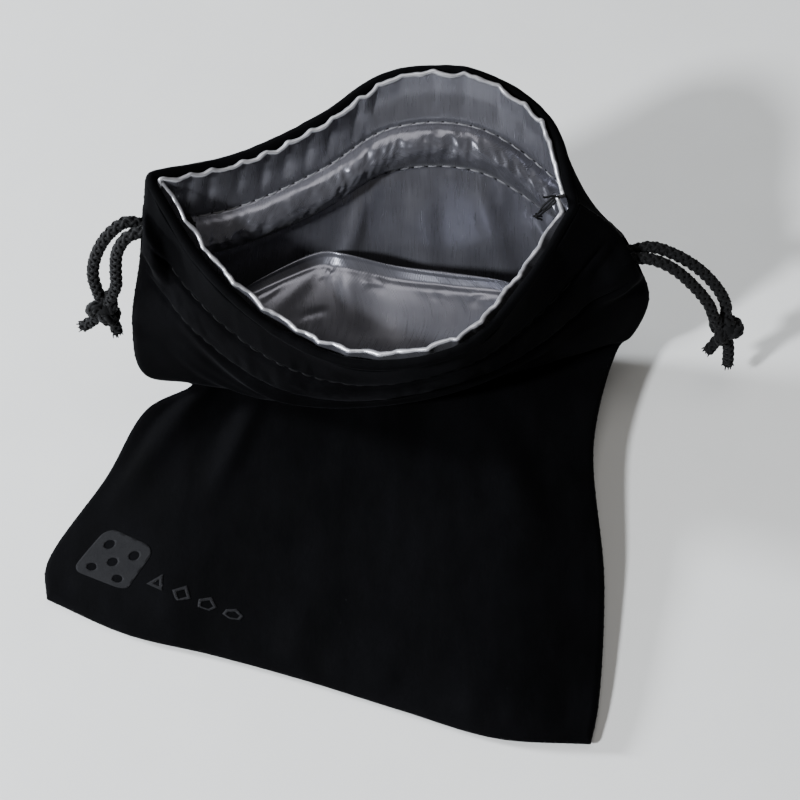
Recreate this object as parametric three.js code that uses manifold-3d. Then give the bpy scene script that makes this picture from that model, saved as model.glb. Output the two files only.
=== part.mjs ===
// Lined velvet drawstring dice bag, half standing: its lower half lies flat and its mouth is kinked
// upright and open.
// Millimetres, +Z up, the mouth's low side towards -Y. The bag rests on the plane z = 0.
import * as THREE from 'three';
import { mergeVertices } from 'three/addons/utils/BufferGeometryUtils.js';
import Module from 'manifold-3d';

const wasm = await Module();
wasm.setup();

// Driving dimensions
const BAG_WIDTH = 127;
const BAG_LENGTH = 155;
const VELVET = 1.2;
const LINING = 0.5;
const CORD = 2.8;
const HEADER = 11;
const CHANNEL = 10;
const RIM_FOLD = 2.2;
const SATIN_EDGE = 1.4;
const THREAD = 0.7;
const KNOT = 8.4;
const PRINT = 0.25;
const GAP = 0.3;
const CORD_INSIDE = 7;
const LINING_EDGE = 16;
const LINING_BELOW_RIM = 2.4;
const CORDS_APART = 1.2;
const CORDS_APART_AT_SEAM = 5;
const CORDS_BELOW_MIDDLE = 0.175;
const TURN_INSIDE = 5.4;
const EYE_REACH = 11;
const SEAM_TO_THREAD = 1.6;

// Smaller sizes: how far stitches and threads stay from edges, and the gaps that follow from GAP
const EYE_FULL = 0.75 * CORD;
const EYE_CLOSED = 2.2 * CORD;
const EYE_GAP = 4 * GAP;
const CORD_GAP = 1.5 * GAP;
const LINING_GAP = 2 * GAP;
const RAISED_GAP = 8 * GAP;
const ROLL_GAP = 3 * GAP;
const ROLL_REACH = 0.02;
const PIPING_REACH = 0.05;
const LINING_BOTTOM = 0.9;
const BESIDE_CHANNEL = 0.1;
const SEAM_FROM = 0.15;
const SEAM_SHORT_OF_CHANNEL = 0.25;
const HEADER_SEAM_RISE = 0.3;
const HEADER_SEAM_SHORT = 0.1;
const BOTTOM_SEAM_REACH = 0.02;

// Where the cord runs start, end and turn, from the side seams
const RUN_START = LINING_EDGE - 1.4 * CORD;
const RUN_END = 9;
const RUN_CORNER = LINING_EDGE - 0.3 * CORD;
const FAR_CORNER = LINING_EDGE - CORD;
const RUN_POINTS = 16;
const DOORWAY = 0.6 * CORD;

// Printed mark, measured from the left seam and the bottom seam
const PRINT_CORNER = { fromSeam: 14, fromBottom: 15 };
const PRINT_TURN = -0.2;
const DIE_FACE = 13;
const PIP = 2.2;
const PIP_SIDES = 6;
const SHAPE_SIZE = 5;
const SHAPE_PITCH = 6.6;
const SHAPE_FROM_DIE = 0.8;
const SHAPE_SIDES = [3, 4, 5, 6];
const BAR = 1;
const FIRST_STATION = 10;
const STATION_PITCH = 26;

// Facets along and round the tubes
const CORD_SIDES = 8;
const RUN_STEPS = 52;
const STRAND_STEPS = 12;
const TAIL_STEPS = 4;
const RIM_STEPS = 48;
const RIM_POINTS = 16;
const STITCH_STEPS = 22;
const THREAD_SIDES = 4;
const THREAD_POINTS = 12;
const SIDE_SEAM_STEPS = 32;
const HEADER_SEAM_STEPS = 4;
const BOTTOM_SEAM_STEPS = 20;

// The control points below are those of a bag of this width and length. A longer or shorter bag has a
// longer or shorter lying half, whose drawn length this is, and the same standing mouth.
const DRAWN_WIDTH = 127;
const DRAWN_LENGTH = 155;
const DRAWN_LYING = 79;
const BAG_CENTRE = [11, -30, 0];

// The side seams and the crease of the standing half lie in one leaning plane,
// y = base + x * skew + z * lean.
const SEAM_PLANE = { base: 52, skew: 0.12, lean: 0.25 };
const planeNormal = new THREE.Vector3(-SEAM_PLANE.skew, 1, -SEAM_PLANE.lean).normalize();
const intoBag = new THREE.Vector3(1, SEAM_PLANE.skew, 0).normalize();

const scaleWidth = BAG_WIDTH / DRAWN_WIDTH;
const scaleLying = (DRAWN_LYING + BAG_LENGTH - DRAWN_LENGTH) / DRAWN_LYING;
const planeY = (x, z) => SEAM_PLANE.base + SEAM_PLANE.skew * x + SEAM_PLANE.lean * z;

// A point of the standing half, a point of the lying half, and a point in the seam plane
function point(x, y, z) {
  const wide = x * scaleWidth;
  return new THREE.Vector3(wide, y + SEAM_PLANE.skew * (wide - x), z);
}
const lying = (x, y, z) => point(x, planeY(x, 0) + (y - planeY(x, 0)) * scaleLying, z);
const onPlane = (x, z) => point(x, planeY(x, z), z);

// Stations along the length: 0 bottom seam, 1 to 3 lower half, 4 crease, 5 fold or heel, 6 belly,
// 7 and 8 the channel's two stitch rows, 9 rim. Seven columns run across, the outer two being the side seams.
const CHANNEL_LOW = 7;
const CHANNEL_HIGH = 8;
const RIM = 9;

const leftSeam = {
  low: [lying(-77, 0, 1.5), lying(-77.8, 8, 2.2), lying(-66, 29, 5.5), lying(-57.5, 43, 11.5)],
  kink: [onPlane(-47.5, 13), onPlane(-58, 17.5)],
  wall: [onPlane(-59.3, 31), onPlane(-55.6, 50.5), onPlane(-53, 67.5)],
};
const rightSeam = {
  low: [lying(39.5, -34, 1.5), lying(41.5, -26, 2), lying(44.5, 3, 4), lying(44, 37, 8)],
  kink: [onPlane(51.2, 12), onPlane(53.8, 15)],
  wall: [onPlane(56.8, 25), onPlane(49.4, 42), onPlane(39, 52)],
};
const bottomSeam = [lying(-59, -8.5, 1.5), lying(-40, -13.5, 1.5), lying(-20, -19.5, 1.5),
  lying(0, -26.3, 1.5), lying(20, -32.7, 1.5)];
const frontLow = [
  [lying(-57, 0, 6.5), lying(-38, -5.5, 7), lying(-18, -11.5, 7), lying(2, -18, 7), lying(21, -24, 6.5)],
  [lying(-47, 25, 10), lying(-29, 20.5, 10.5), lying(-10, 15.5, 10.5), lying(9, 10.5, 10.5),
    lying(27, 6, 9.5)],
  [lying(-41.5, 42, 11.8), lying(-25, 41.5, 12), lying(-8, 41, 12), lying(9, 40.5, 12), lying(26, 40, 11)],
  [onPlane(-39, 13.5), onPlane(-22, 13.3), onPlane(-4, 13), onPlane(14, 12.8), onPlane(32, 12.3)],
  [point(-41, 45.5, 17), point(-24, 42, 16.3), point(-7, 43.5, 16.3), point(11, 47, 16.3),
    point(30, 52.5, 16)],
];
const frontBelly = [point(-43, 45, 25), point(-25.8, 38.6, 21.5), point(-8, 38, 20.8),
  point(13.3, 41.5, 22), point(31.8, 49.5, 23.5)];
const frontRim = [point(-42, 49, 55), point(-26, 37.5, 46.5), point(-8, 31, 43.7),
  point(13.8, 33.5, 46.4), point(28, 49.5, 48.5)];
const backLow = [
  ...frontLow.slice(0, 3).map((row) => row.map((p) => new THREE.Vector3(p.x, p.y, 0))),
  [onPlane(-39, 3), onPlane(-22, 0), onPlane(-4, 0), onPlane(14, 0), onPlane(32, 0.5)],
  [point(-40, 56.5, 8), point(-22, 60, 2), point(-4, 62.5, 0.6), point(14, 65, 0.6), point(33, 67.5, 2.5)],
];
const backBelly = [point(-39.5, 61, 27), point(-21, 66.5, 25), point(-4, 70.5, 25), point(15.5, 73, 25),
  point(36, 73.5, 22)];
const backRim = [point(-35, 73, 62.8), point(-18, 82.6, 64), point(-2.5, 92.6, 67.2), point(17, 94.4, 65.8),
  point(34, 86.4, 58.2)];

// Sizes that follow from the driving ones
const seamHalf = VELVET + GAP / 2;
const strandOffset = CORD / 2 + GAP / 2;
const eyeHalf = strandOffset + CORD / 2 + EYE_GAP + VELVET;
const cordDepth = VELVET + CORD_GAP + CORD / 2;
const liningFlat = VELVET + LINING_GAP;
const liningRaised = VELVET + RAISED_GAP + CORD;
const cordLevel = (CORD + CORDS_APART) / 2 / CHANNEL;
const cordLevelAtSeam = (CORD + CORDS_APART_AT_SEAM) / 2 / CHANNEL;
const CHANNEL_MIDDLE = (CHANNEL_LOW + CHANNEL_HIGH) / 2;
const LEFT_EXIT = CHANNEL_MIDDLE + cordLevelAtSeam;
const RIGHT_EXIT = CHANNEL_MIDDLE - cordLevelAtSeam;

const mix = THREE.MathUtils.lerp;
const ease = THREE.MathUtils.smoothstep;

// A station between the belly and the rim, measured down the wall from the rim
function downWall(wall, distance) {
  const curve = new THREE.CatmullRomCurve3(wall);
  const share = distance / curve.getLength();
  return curve.getPointAt(Math.max(0, 1 - share));
}

function wallStations(wall) {
  return [wall[0], downWall(wall, HEADER + CHANNEL), downWall(wall, HEADER), wall[wall.length - 1]];
}

function seamStations(seam) {
  return [...seam.low, ...seam.kink, ...wallStations(seam.wall)];
}

const seams = { left: seamStations(leftSeam), right: seamStations(rightSeam) };

// The direction in which the front panel parts from the back panel at a side seam
const partings = [[0, 0, 1], [0, 0, 1], [0, 0, 1], [0, 0, 1], [0.08, -0.7, 0.7]]
  .map((p) => new THREE.Vector3(...p).normalize());
while (partings.length <= RIM) partings.push(planeNormal.clone().negate());

function between(list, station) {
  const low = Math.min(Math.floor(station), list.length - 2);
  return list[low].clone().lerp(list[low + 1], station - low);
}

// One panel's net: ten stations of seven points
function panelNet(side, low, belly, rim) {
  const walls = belly.map((foot, column) => {
    const halfway = foot.clone().lerp(rim[column], 0.5);
    return wallStations([foot, halfway, rim[column]]);
  });
  const inner = [bottomSeam.map((p) => p.clone().addScaledVector(partings[0], side * seamHalf)), ...low];
  for (let step = 0; step < 4; step += 1) inner.push(walls.map((wall) => wall[step]));
  return inner.map((row, station) => {
    const part = partings[station].clone().multiplyScalar(side * seamHalf);
    return [seams.left[station].clone().add(part), ...row, seams.right[station].clone().add(part)];
  });
}

const FRONT = 1;
const BACK = -1;
const nets = {
  [FRONT]: panelNet(FRONT, frontLow, frontBelly, frontRim),
  [BACK]: panelNet(BACK, backLow, backBelly, backRim),
};

const columnCache = new Map();
function panelColumn(side, u) {
  const key = `${side}:${u.toFixed(5)}`;
  if (!columnCache.has(key)) {
    const points = nets[side].map((row) => new THREE.CatmullRomCurve3(row).getPoint(u));
    columnCache.set(key, new THREE.CatmullRomCurve3(points));
  }
  return columnCache.get(key);
}

// How far the panels part at the eyes that the cords leave by
function eyeOpening(u, station) {
  const fromLeft = u * BAG_WIDTH;
  const fromRight = BAG_WIDTH - fromLeft;
  const [distance, level] = fromLeft < fromRight ? [fromLeft, LEFT_EXIT] : [fromRight, RIGHT_EXIT];
  const along = 1 - ease(Math.abs(station - level) * CHANNEL, EYE_FULL, EYE_CLOSED);
  return (eyeHalf - seamHalf) * along * (1 - ease(distance, CORD, EYE_REACH));
}

// A point of a panel's outer face: u across from the left seam to the right, station along the length
function outerFace(side, u, station) {
  const p = panelColumn(side, u).getPoint(station / RIM);
  p.addScaledVector(between(partings, station), side * eyeOpening(u, station));
  if (side === BACK) p.z = Math.max(p.z, 0);
  return p;
}

const STEP_U = 0.004;
const STEP_STATION = 0.02;
function inward(side, u, station) {
  const [u0, u1] = [Math.max(0, u - STEP_U), Math.min(1, u + STEP_U)];
  const [s0, s1] = [Math.max(0, station - STEP_STATION), Math.min(RIM, station + STEP_STATION)];
  const across = outerFace(side, u1, station).sub(outerFace(side, u0, station));
  const along = outerFace(side, u, s1).sub(outerFace(side, u, s0));
  return across.cross(along).normalize().multiplyScalar(-side);
}

function inPanel(side, u, station, depth) {
  return outerFace(side, u, station).addScaledVector(inward(side, u, station), depth);
}

// Closed geometry from a box whose grid is bent by place(a, b, c), a and b from 0 to 1 and c 0 or 1
function bentBox(acrossSteps, alongSteps, place) {
  const geometry = new THREE.BoxGeometry(1, 1, 1, acrossSteps, alongSteps, 1);
  geometry.deleteAttribute('normal');
  geometry.deleteAttribute('uv');
  const position = geometry.attributes.position;
  for (let i = 0; i < position.count; i += 1) {
    const p = place(position.getX(i) + 0.5, position.getY(i) + 0.5, position.getZ(i) + 0.5);
    position.setXYZ(i, p.x, p.y, p.z);
  }
  const merged = mergeVertices(geometry, 1e-4);
  merged.computeVertexNormals();
  return merged;
}

// Rows of a panel's grid, closer together where the cloth turns sharply
const CHANNEL_ROWS = 10;
const rowStops = [[0, 0], [1, 2], [3, 5], [5, 12], [7, 15], [8, 15 + CHANNEL_ROWS], [9, 17 + CHANNEL_ROWS]];
const ROWS = rowStops[rowStops.length - 1][1];
function stationOfRow(row) {
  const next = rowStops.findIndex(([, at]) => at >= row);
  if (next === 0) return 0;
  const [[fromStation, fromRow], [toStation, toRow]] = [rowStops[next - 1], rowStops[next]];
  return mix(fromStation, toStation, (row - fromRow) / (toRow - fromRow));
}

function sheet(side, { columns, margin, bottom, top, outer, inner }) {
  return bentBox(columns, ROWS, (a, b, c) => {
    const u = mix(margin, 1 - margin, a);
    const station = THREE.MathUtils.clamp(stationOfRow(Math.round(b * ROWS)), bottom, top);
    const near = side === FRONT ? 1 - c : c;
    return inPanel(side, u, station, mix(outer(u, station), inner(u, station), near));
  });
}

// A round tube along a curve, closed at its ends, or a closed loop
function tube(curve, diameter, steps, sides = CORD_SIDES) {
  const section = new THREE.Shape();
  for (let i = 0; i < sides; i += 1) {
    const angle = (i / sides) * 2 * Math.PI;
    section[i ? 'lineTo' : 'moveTo'](diameter / 2 * Math.cos(angle), diameter / 2 * Math.sin(angle));
  }
  section.closePath();
  const geometry = new THREE.ExtrudeGeometry(section, { steps, extrudePath: curve, bevelEnabled: false });
  geometry.deleteAttribute('normal');
  geometry.deleteAttribute('uv');
  const merged = mergeVertices(geometry, 1e-4);
  merged.computeVertexNormals();
  return merged;
}

function toSolid(geometry) {
  const merged = mergeVertices(geometry, 1e-4);
  const triVerts = new Uint32Array(merged.index.array);
  const vertProperties = merged.attributes.position.array;
  return new wasm.Manifold(new wasm.Mesh({ numProp: 3, vertProperties, triVerts }));
}

function fromSolid(solid) {
  const mesh = solid.getMesh();
  const geometry = new THREE.BufferGeometry();
  geometry.setAttribute('position', new THREE.BufferAttribute(mesh.vertProperties, 3));
  geometry.setIndex(new THREE.BufferAttribute(mesh.triVerts, 1));
  geometry.computeVertexNormals();
  return geometry;
}

const materials = {
  velvet: new THREE.MeshStandardMaterial({ color: 0x08080a, roughness: 0.95, metalness: 0 }),
  satin: new THREE.MeshStandardMaterial({ color: 0x8f8f99, roughness: 0.35, metalness: 0 }),
  cord: new THREE.MeshStandardMaterial({ color: 0x0a0a0a, roughness: 0.8, metalness: 0 }),
  thread: new THREE.MeshStandardMaterial({ color: 0x141416, roughness: 0.7, metalness: 0 }),
  print: new THREE.MeshStandardMaterial({ color: 0x4a4a50, roughness: 0.6, metalness: 0 }),
};

const bag = new THREE.Group();
function add(name, geometry, material) {
  const mesh = new THREE.Mesh(geometry, materials[material].clone());
  mesh.name = name;
  bag.add(mesh);
  return mesh;
}

// Velvet panels
const wholePanel = { columns: 18, margin: 0, bottom: 0, top: RIM, outer: () => 0, inner: () => VELVET };
add('velvet_front_panel', sheet(FRONT, wholePanel), 'velvet');
add('velvet_back_panel', sheet(BACK, wholePanel), 'velvet');

// Satin lining panels, raised over the cords in the channel
function liningDepth(u, station) {
  const fromStitches = Math.min(station - CHANNEL_LOW, CHANNEL_HIGH - station);
  return mix(liningFlat, liningRaised, THREE.MathUtils.clamp(fromStitches * CHANNEL_ROWS, 0, 1));
}
const liningPanel = {
  columns: 15,
  margin: LINING_EDGE / BAG_WIDTH,
  bottom: LINING_BOTTOM,
  top: RIM - LINING_BELOW_RIM / HEADER,
  outer: liningDepth,
  inner: (u, station) => liningDepth(u, station) + LINING,
};
add('lining_front_panel', sheet(FRONT, liningPanel), 'satin');
add('lining_back_panel', sheet(BACK, liningPanel), 'satin');

// Loops that follow the whole rim
function rimLoop(depth, lift, reach) {
  const points = [];
  for (const side of [FRONT, BACK]) {
    for (let i = 0; i < RIM_POINTS; i += 1) {
      const share = mix(reach, 1 - reach, i / (RIM_POINTS - 1));
      const u = side === FRONT ? share : 1 - share;
      const along = outerFace(side, u, RIM).sub(outerFace(side, u, RIM - 0.1)).normalize();
      points.push(inPanel(side, u, RIM, depth).addScaledVector(along, lift));
    }
  }
  return new THREE.CatmullRomCurve3(points, true);
}
const rollLoop = rimLoop(VELVET / 2, RIM_FOLD / 2 + ROLL_GAP, ROLL_REACH);
add('velvet_rim_fold', tube(rollLoop, RIM_FOLD, RIM_STEPS, 6), 'velvet');
const satinDepth = VELVET / 2 + RIM_FOLD / 2 + LINING_GAP + SATIN_EDGE / 2;
const pipingLoop = rimLoop(satinDepth, SATIN_EDGE / 2, PIPING_REACH);
add('satin_rim_edge', tube(pipingLoop, SATIN_EDGE, RIM_STEPS, 5), 'satin');

// Stitch rows along both edges of the channel, on the lining's inner face
function stitchRow(side, station) {
  const reach = (LINING_EDGE + THREAD) / BAG_WIDTH;
  const points = [];
  for (let i = 0; i < THREAD_POINTS; i += 1) {
    const u = mix(reach, 1 - reach, i / (THREAD_POINTS - 1));
    points.push(inPanel(side, u, station, liningDepth(u, station) + LINING + GAP + THREAD / 2));
  }
  return tube(new THREE.CatmullRomCurve3(points), THREAD, STITCH_STEPS, THREAD_SIDES);
}
for (const [sideName, side] of [['front', FRONT], ['back', BACK]]) {
  add(`channel_stitch_upper_${sideName}`, stitchRow(side, CHANNEL_HIGH + BESIDE_CHANNEL), 'thread');
  add(`channel_stitch_lower_${sideName}`, stitchRow(side, CHANNEL_LOW - BESIDE_CHANNEL), 'thread');
}

// Seam threads just outside the panels' edges, in two runs on each side because the cords leave between them
function sideSeam(direction, from, to, steps) {
  const points = [];
  const count = steps / 2;
  for (let i = 0; i <= count; i += 1) {
    const station = mix(from, to, i / count);
    const u = direction < 0 ? 0 : 1;
    const front = outerFace(FRONT, u, station);
    const edge = front.lerp(outerFace(BACK, u, station), 0.5);
    points.push(edge.addScaledVector(intoBag, direction * (SEAM_TO_THREAD + THREAD / 2)));
  }
  return tube(new THREE.CatmullRomCurve3(points), THREAD, steps, THREAD_SIDES);
}
const belowChannel = [SEAM_FROM, CHANNEL_LOW - SEAM_SHORT_OF_CHANNEL, SIDE_SEAM_STEPS];
const header = [CHANNEL_HIGH + HEADER_SEAM_RISE, RIM - HEADER_SEAM_SHORT, HEADER_SEAM_STEPS];
add('side_seam_left', sideSeam(-1, ...belowChannel), 'thread');
add('side_seam_right', sideSeam(1, ...belowChannel), 'thread');
add('header_seam_left', sideSeam(-1, ...header), 'thread');
add('header_seam_right', sideSeam(1, ...header), 'thread');

function bottomSeamThread() {
  const points = [];
  for (let i = 0; i <= THREAD_POINTS; i += 1) {
    const u = mix(BOTTOM_SEAM_REACH, 1 - BOTTOM_SEAM_REACH, i / THREAD_POINTS);
    const edge = outerFace(FRONT, u, 0).lerp(outerFace(BACK, u, 0), 0.5);
    points.push(edge.add(new THREE.Vector3(0, -(GAP + THREAD), 0)));
  }
  return tube(new THREE.CatmullRomCurve3(points), THREAD, BOTTOM_SEAM_STEPS, THREAD_SIDES);
}
add('bottom_seam', bottomSeamThread(), 'thread');

// Cord runs inside the channel. Each enters at its own side, goes round the mouth past the other side seam
// and comes back out beside itself.
const exits = {
  left: between(seams.left, LEFT_EXIT),
  right: between(seams.right, RIGHT_EXIT),
};
const runFrom = RUN_START / BAG_WIDTH;
const runTo = 1 - RUN_END / BAG_WIDTH;
const runSteps = Array.from({ length: RUN_POINTS }, (_, i) => i / (RUN_POINTS - 1));
const runShares = runSteps.map((step) => mix(runFrom, runTo, step));
function cordRun(sideName) {
  const fromLeft = sideName === 'left';
  const rise = fromLeft ? 1 : -1;
  const inside = intoBag.clone().multiplyScalar(fromLeft ? 1 : -1);
  const door = (side, distance) => exits[sideName].clone()
    .addScaledVector(inside, distance)
    .addScaledVector(planeNormal, -side * strandOffset);
  const doorway = (side) => [door(side, CORD_INSIDE), door(side, CORD_INSIDE + DOORWAY)];
  const wall = (side) => runShares.map((share) => {
    const fromStart = share * BAG_WIDTH;
    const fromTurn = (1 - share) * BAG_WIDTH;
    const corner = Math.max(1 - fromStart / RUN_CORNER, 1 - fromTurn / FAR_CORNER, 0);
    const middle = CHANNEL_MIDDLE - (1 - corner) * CORDS_BELOW_MIDDLE / CHANNEL;
    const level = middle + rise * mix(cordLevel, cordLevelAtSeam, corner);
    return inPanel(side, fromLeft ? share : 1 - share, level, cordDepth);
  });
  const farLevel = fromLeft ? LEFT_EXIT : RIGHT_EXIT;
  const turn = between(fromLeft ? seams.right : seams.left, farLevel).addScaledVector(inside, -TURN_INSIDE);
  const out = [...doorway(FRONT), ...wall(FRONT)];
  const home = [...doorway(BACK), ...wall(BACK)].reverse();
  return tube(new THREE.CatmullRomCurve3([...out, turn, ...home]), CORD, RUN_STEPS);
}
add('left_cord_run', cordRun('left'), 'cord');
add('right_cord_run', cordRun('right'), 'cord');

// Free ends of the cords: points from the exit, the far strand being the one on the back panel's side
const strandRoutes = {
  left: {
    back: [[-3.4, 1.4, 0.2], [-7.4, 0.4, -2.6], [-10.6, -1, -7.6], [-12, -2.2, -13], [-11.6, -3, -17.6]],
    front: [[-3, -1.9, -0.8], [-5.6, -2.7, -4.8], [-6.6, -3.4, -10.4], [-7, -3.9, -14.6], [-8.4, -4.2, -18]],
  },
  right: {
    back: [[4.2, 1.5, 0.8], [9.2, 0.2, 0], [15.2, -1.6, -3.2], [20, -3.6, -8], [22.2, -4.8, -12.2]],
    front: [[4, -1.9, 0.6], [8.8, -3.2, -0.9], [13.8, -4.6, -5.2], [17.9, -6.4, -10], [19.6, -7.4, -13.8]],
  },
};
const knotPlaces = {
  left: { centre: [-10.6, -4, -22.8], tails: [[-16.4, -4.6, -28.6], [-8.6, -5, -30]] },
  right: { centre: [22.8, -6.9, -18.2], tails: [[25, -8, -30.6], [19.4, -8.6, -24.8]] },
};
const offset = (exit, [x, y, z]) => exit.clone().add(new THREE.Vector3(x, y, z));

function strandCurve(sideName, panelName) {
  const side = panelName === 'front' ? FRONT : BACK;
  const inside = intoBag.clone().multiplyScalar(sideName === 'left' ? 1 : -1);
  const shift = (distance) => exits[sideName].clone()
    .addScaledVector(inside, distance)
    .addScaledVector(planeNormal, -side * strandOffset);
  const free = strandRoutes[sideName][panelName].map((p) => offset(exits[sideName], p));
  return new THREE.CatmullRomCurve3([shift(CORD_INSIDE - GAP), shift(CORD_INSIDE / 2), shift(0), ...free]);
}

function knot(sideName) {
  const { centre, tails } = knotPlaces[sideName];
  const middle = offset(exits[sideName], centre);
  const ball = new THREE.SphereGeometry(KNOT / 2, 12, 8).translate(...middle.toArray());
  ball.deleteAttribute('normal');
  ball.deleteAttribute('uv');
  let solid = toSolid(ball);
  for (const tail of tails) {
    const end = offset(exits[sideName], tail);
    const path = new THREE.CatmullRomCurve3([middle, middle.clone().lerp(end, 0.5), end]);
    solid = solid.add(toSolid(tube(path, CORD, TAIL_STEPS)));
  }
  return fromSolid(solid);
}

for (const sideName of ['left', 'right']) {
  for (const panelName of ['front', 'back']) {
    const strand = tube(strandCurve(sideName, panelName), CORD, STRAND_STEPS);
    add(`${sideName}_cord_${panelName}_strand`, strand, 'cord');
  }
  add(`${sideName}_cord_knot`, knot(sideName), 'cord');
}

// Printed mark: a rounded die face with five pips and a row of small shapes, following the bottom seam
const firstStation = FIRST_STATION * scaleLying;
const stationPitch = STATION_PITCH * scaleLying;

// Flat print outlines are drawn in millimetres and then laid on the front panel
function layOnPanel(shape, curveSegments) {
  const geometry = new THREE.ExtrudeGeometry(shape, { depth: PRINT, bevelEnabled: false, curveSegments });
  geometry.deleteAttribute('normal');
  geometry.deleteAttribute('uv');
  const position = geometry.attributes.position;
  for (let i = 0; i < position.count; i += 1) {
    const [x, y] = [position.getX(i), position.getY(i)];
    const across = PRINT_CORNER.fromSeam + x * Math.cos(PRINT_TURN) - y * Math.sin(PRINT_TURN);
    const up = PRINT_CORNER.fromBottom + x * Math.sin(PRINT_TURN) + y * Math.cos(PRINT_TURN);
    const u = across / BAG_WIDTH;
    const station = 1 + (up - firstStation) / stationPitch;
    const p = inPanel(FRONT, u, station, -(GAP + position.getZ(i)));
    position.setXYZ(i, p.x, p.y, p.z);
  }
  const merged = mergeVertices(geometry, 1e-4);
  merged.computeVertexNormals();
  return merged;
}

function polygon(path, x, y, radius, sides, turn = Math.PI / 2) {
  for (let i = 0; i < sides; i += 1) {
    const angle = turn + (i / sides) * 2 * Math.PI;
    path[i ? 'lineTo' : 'moveTo'](x + radius * Math.cos(angle), y + radius * Math.sin(angle));
  }
  path.closePath();
  return path;
}

function dieFace() {
  const half = DIE_FACE / 2;
  const corner = DIE_FACE / 5;
  const shape = new THREE.Shape();
  shape.moveTo(-half + corner, -half);
  shape.lineTo(half - corner, -half);
  shape.absarc(half - corner, -half + corner, corner, -Math.PI / 2, 0);
  shape.absarc(half - corner, half - corner, corner, 0, Math.PI / 2);
  shape.absarc(-half + corner, half - corner, corner, Math.PI / 2, Math.PI);
  shape.absarc(-half + corner, -half + corner, corner, Math.PI, 1.5 * Math.PI);
  const spread = DIE_FACE / 4;
  for (const [x, y] of [[0, 0], [-spread, -spread], [spread, -spread], [spread, spread], [-spread, spread]]) {
    shape.holes.push(polygon(new THREE.Path(), x, y, PIP / 2, PIP_SIDES));
  }
  return shape;
}
add('printed_die_face', layOnPanel(dieFace(), 2), 'print');
SHAPE_SIDES.forEach((sides, i) => {
  const x = DIE_FACE / 2 + SHAPE_PITCH * (i + SHAPE_FROM_DIE);
  const shape = polygon(new THREE.Shape(), x, 0, SHAPE_SIZE / 2, sides);
  shape.holes.push(polygon(new THREE.Path(), x, 0, SHAPE_SIZE / 2 - BAR, sides));
  add(`printed_shape_${sides}_sides`, layOnPanel(shape, 1), 'print');
});

bag.position.set(...BAG_CENTRE);
export default bag;
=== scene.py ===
"""A lined velvet drawstring dice bag, half standing, with its mouth open.

The cloth surfaces are worked out from the same control points as the CAD panels, on a finer grid, with folds,
stitch rows and crinkles added. Points are given in millimetres and turned into metres by the functions below.
"""
import math
import bpy
import numpy as np
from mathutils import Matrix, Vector
from mathutils.geometry import delaunay_2d_cdt


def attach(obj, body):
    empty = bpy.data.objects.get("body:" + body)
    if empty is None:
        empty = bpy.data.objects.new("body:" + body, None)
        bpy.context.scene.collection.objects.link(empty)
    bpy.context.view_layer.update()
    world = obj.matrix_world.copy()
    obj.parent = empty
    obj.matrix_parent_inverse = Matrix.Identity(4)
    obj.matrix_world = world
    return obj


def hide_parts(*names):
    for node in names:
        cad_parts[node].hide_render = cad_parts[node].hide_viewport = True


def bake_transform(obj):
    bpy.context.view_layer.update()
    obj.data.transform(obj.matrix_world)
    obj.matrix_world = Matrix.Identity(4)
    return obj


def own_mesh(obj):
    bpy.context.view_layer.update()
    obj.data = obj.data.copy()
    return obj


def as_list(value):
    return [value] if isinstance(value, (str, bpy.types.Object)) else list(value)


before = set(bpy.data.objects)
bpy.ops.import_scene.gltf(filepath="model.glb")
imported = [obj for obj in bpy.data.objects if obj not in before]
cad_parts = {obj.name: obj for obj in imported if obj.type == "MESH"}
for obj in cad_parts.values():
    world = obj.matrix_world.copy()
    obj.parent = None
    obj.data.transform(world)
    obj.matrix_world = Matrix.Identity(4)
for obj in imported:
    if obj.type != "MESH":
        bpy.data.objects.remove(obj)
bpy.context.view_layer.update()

MM = 0.001
BAG_WIDTH = 127.0
VELVET = 1.2
LINING = 0.5
CORD = 2.8
HEADER = 11.0
CHANNEL = 10.0
GAP = 0.3
CORD_INSIDE = 7.0
CORDS_APART_AT_SEAM = 5.0
EYE_REACH = 11.0
FRONT, BACK = 1, -1
CREASE, CHANNEL_LOW, CHANNEL_HIGH, RIM = 4, 7, 8, 9
BAG_CENTRE = np.array([11.0, -30.0, 0.0])

SEAM_BASE, SEAM_SKEW, SEAM_LEAN = 52.0, 0.12, 0.25


def unit(vector):
    vector = np.asarray(vector, float)
    return vector / np.linalg.norm(vector, axis=-1, keepdims=True)


PLANE_NORMAL = unit([-SEAM_SKEW, 1, -SEAM_LEAN])
INTO_BAG = unit([1, SEAM_SKEW, 0])


def on_plane(x, z):
    return (x, SEAM_BASE + SEAM_SKEW * x + SEAM_LEAN * z, z)


def metres(points):
    """Points drawn in millimetres about the bag, in the frame's metres."""
    return (np.asarray(points, float) + BAG_CENTRE) * MM


# ---------------------------------------------------------------- camera
CAMERA_TARGET = Vector((0.011, 0.010, 0.020))
CAMERA_DISTANCE = 0.4
CAMERA_ELEVATION = math.radians(55)
CAMERA_LENS = 81
CAMERA_SENSOR = 36


def make_camera():
    data = bpy.data.cameras.new("camera")
    data.lens = CAMERA_LENS
    data.sensor_width = CAMERA_SENSOR
    camera = bpy.data.objects.new("camera", data)
    bpy.context.scene.collection.objects.link(camera)
    back = Vector((0, -math.cos(CAMERA_ELEVATION), math.sin(CAMERA_ELEVATION)))
    camera.location = CAMERA_TARGET + back * CAMERA_DISTANCE
    camera.rotation_euler = (math.pi / 2 - CAMERA_ELEVATION, 0, 0)
    bpy.context.scene.camera = camera


make_camera()


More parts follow.
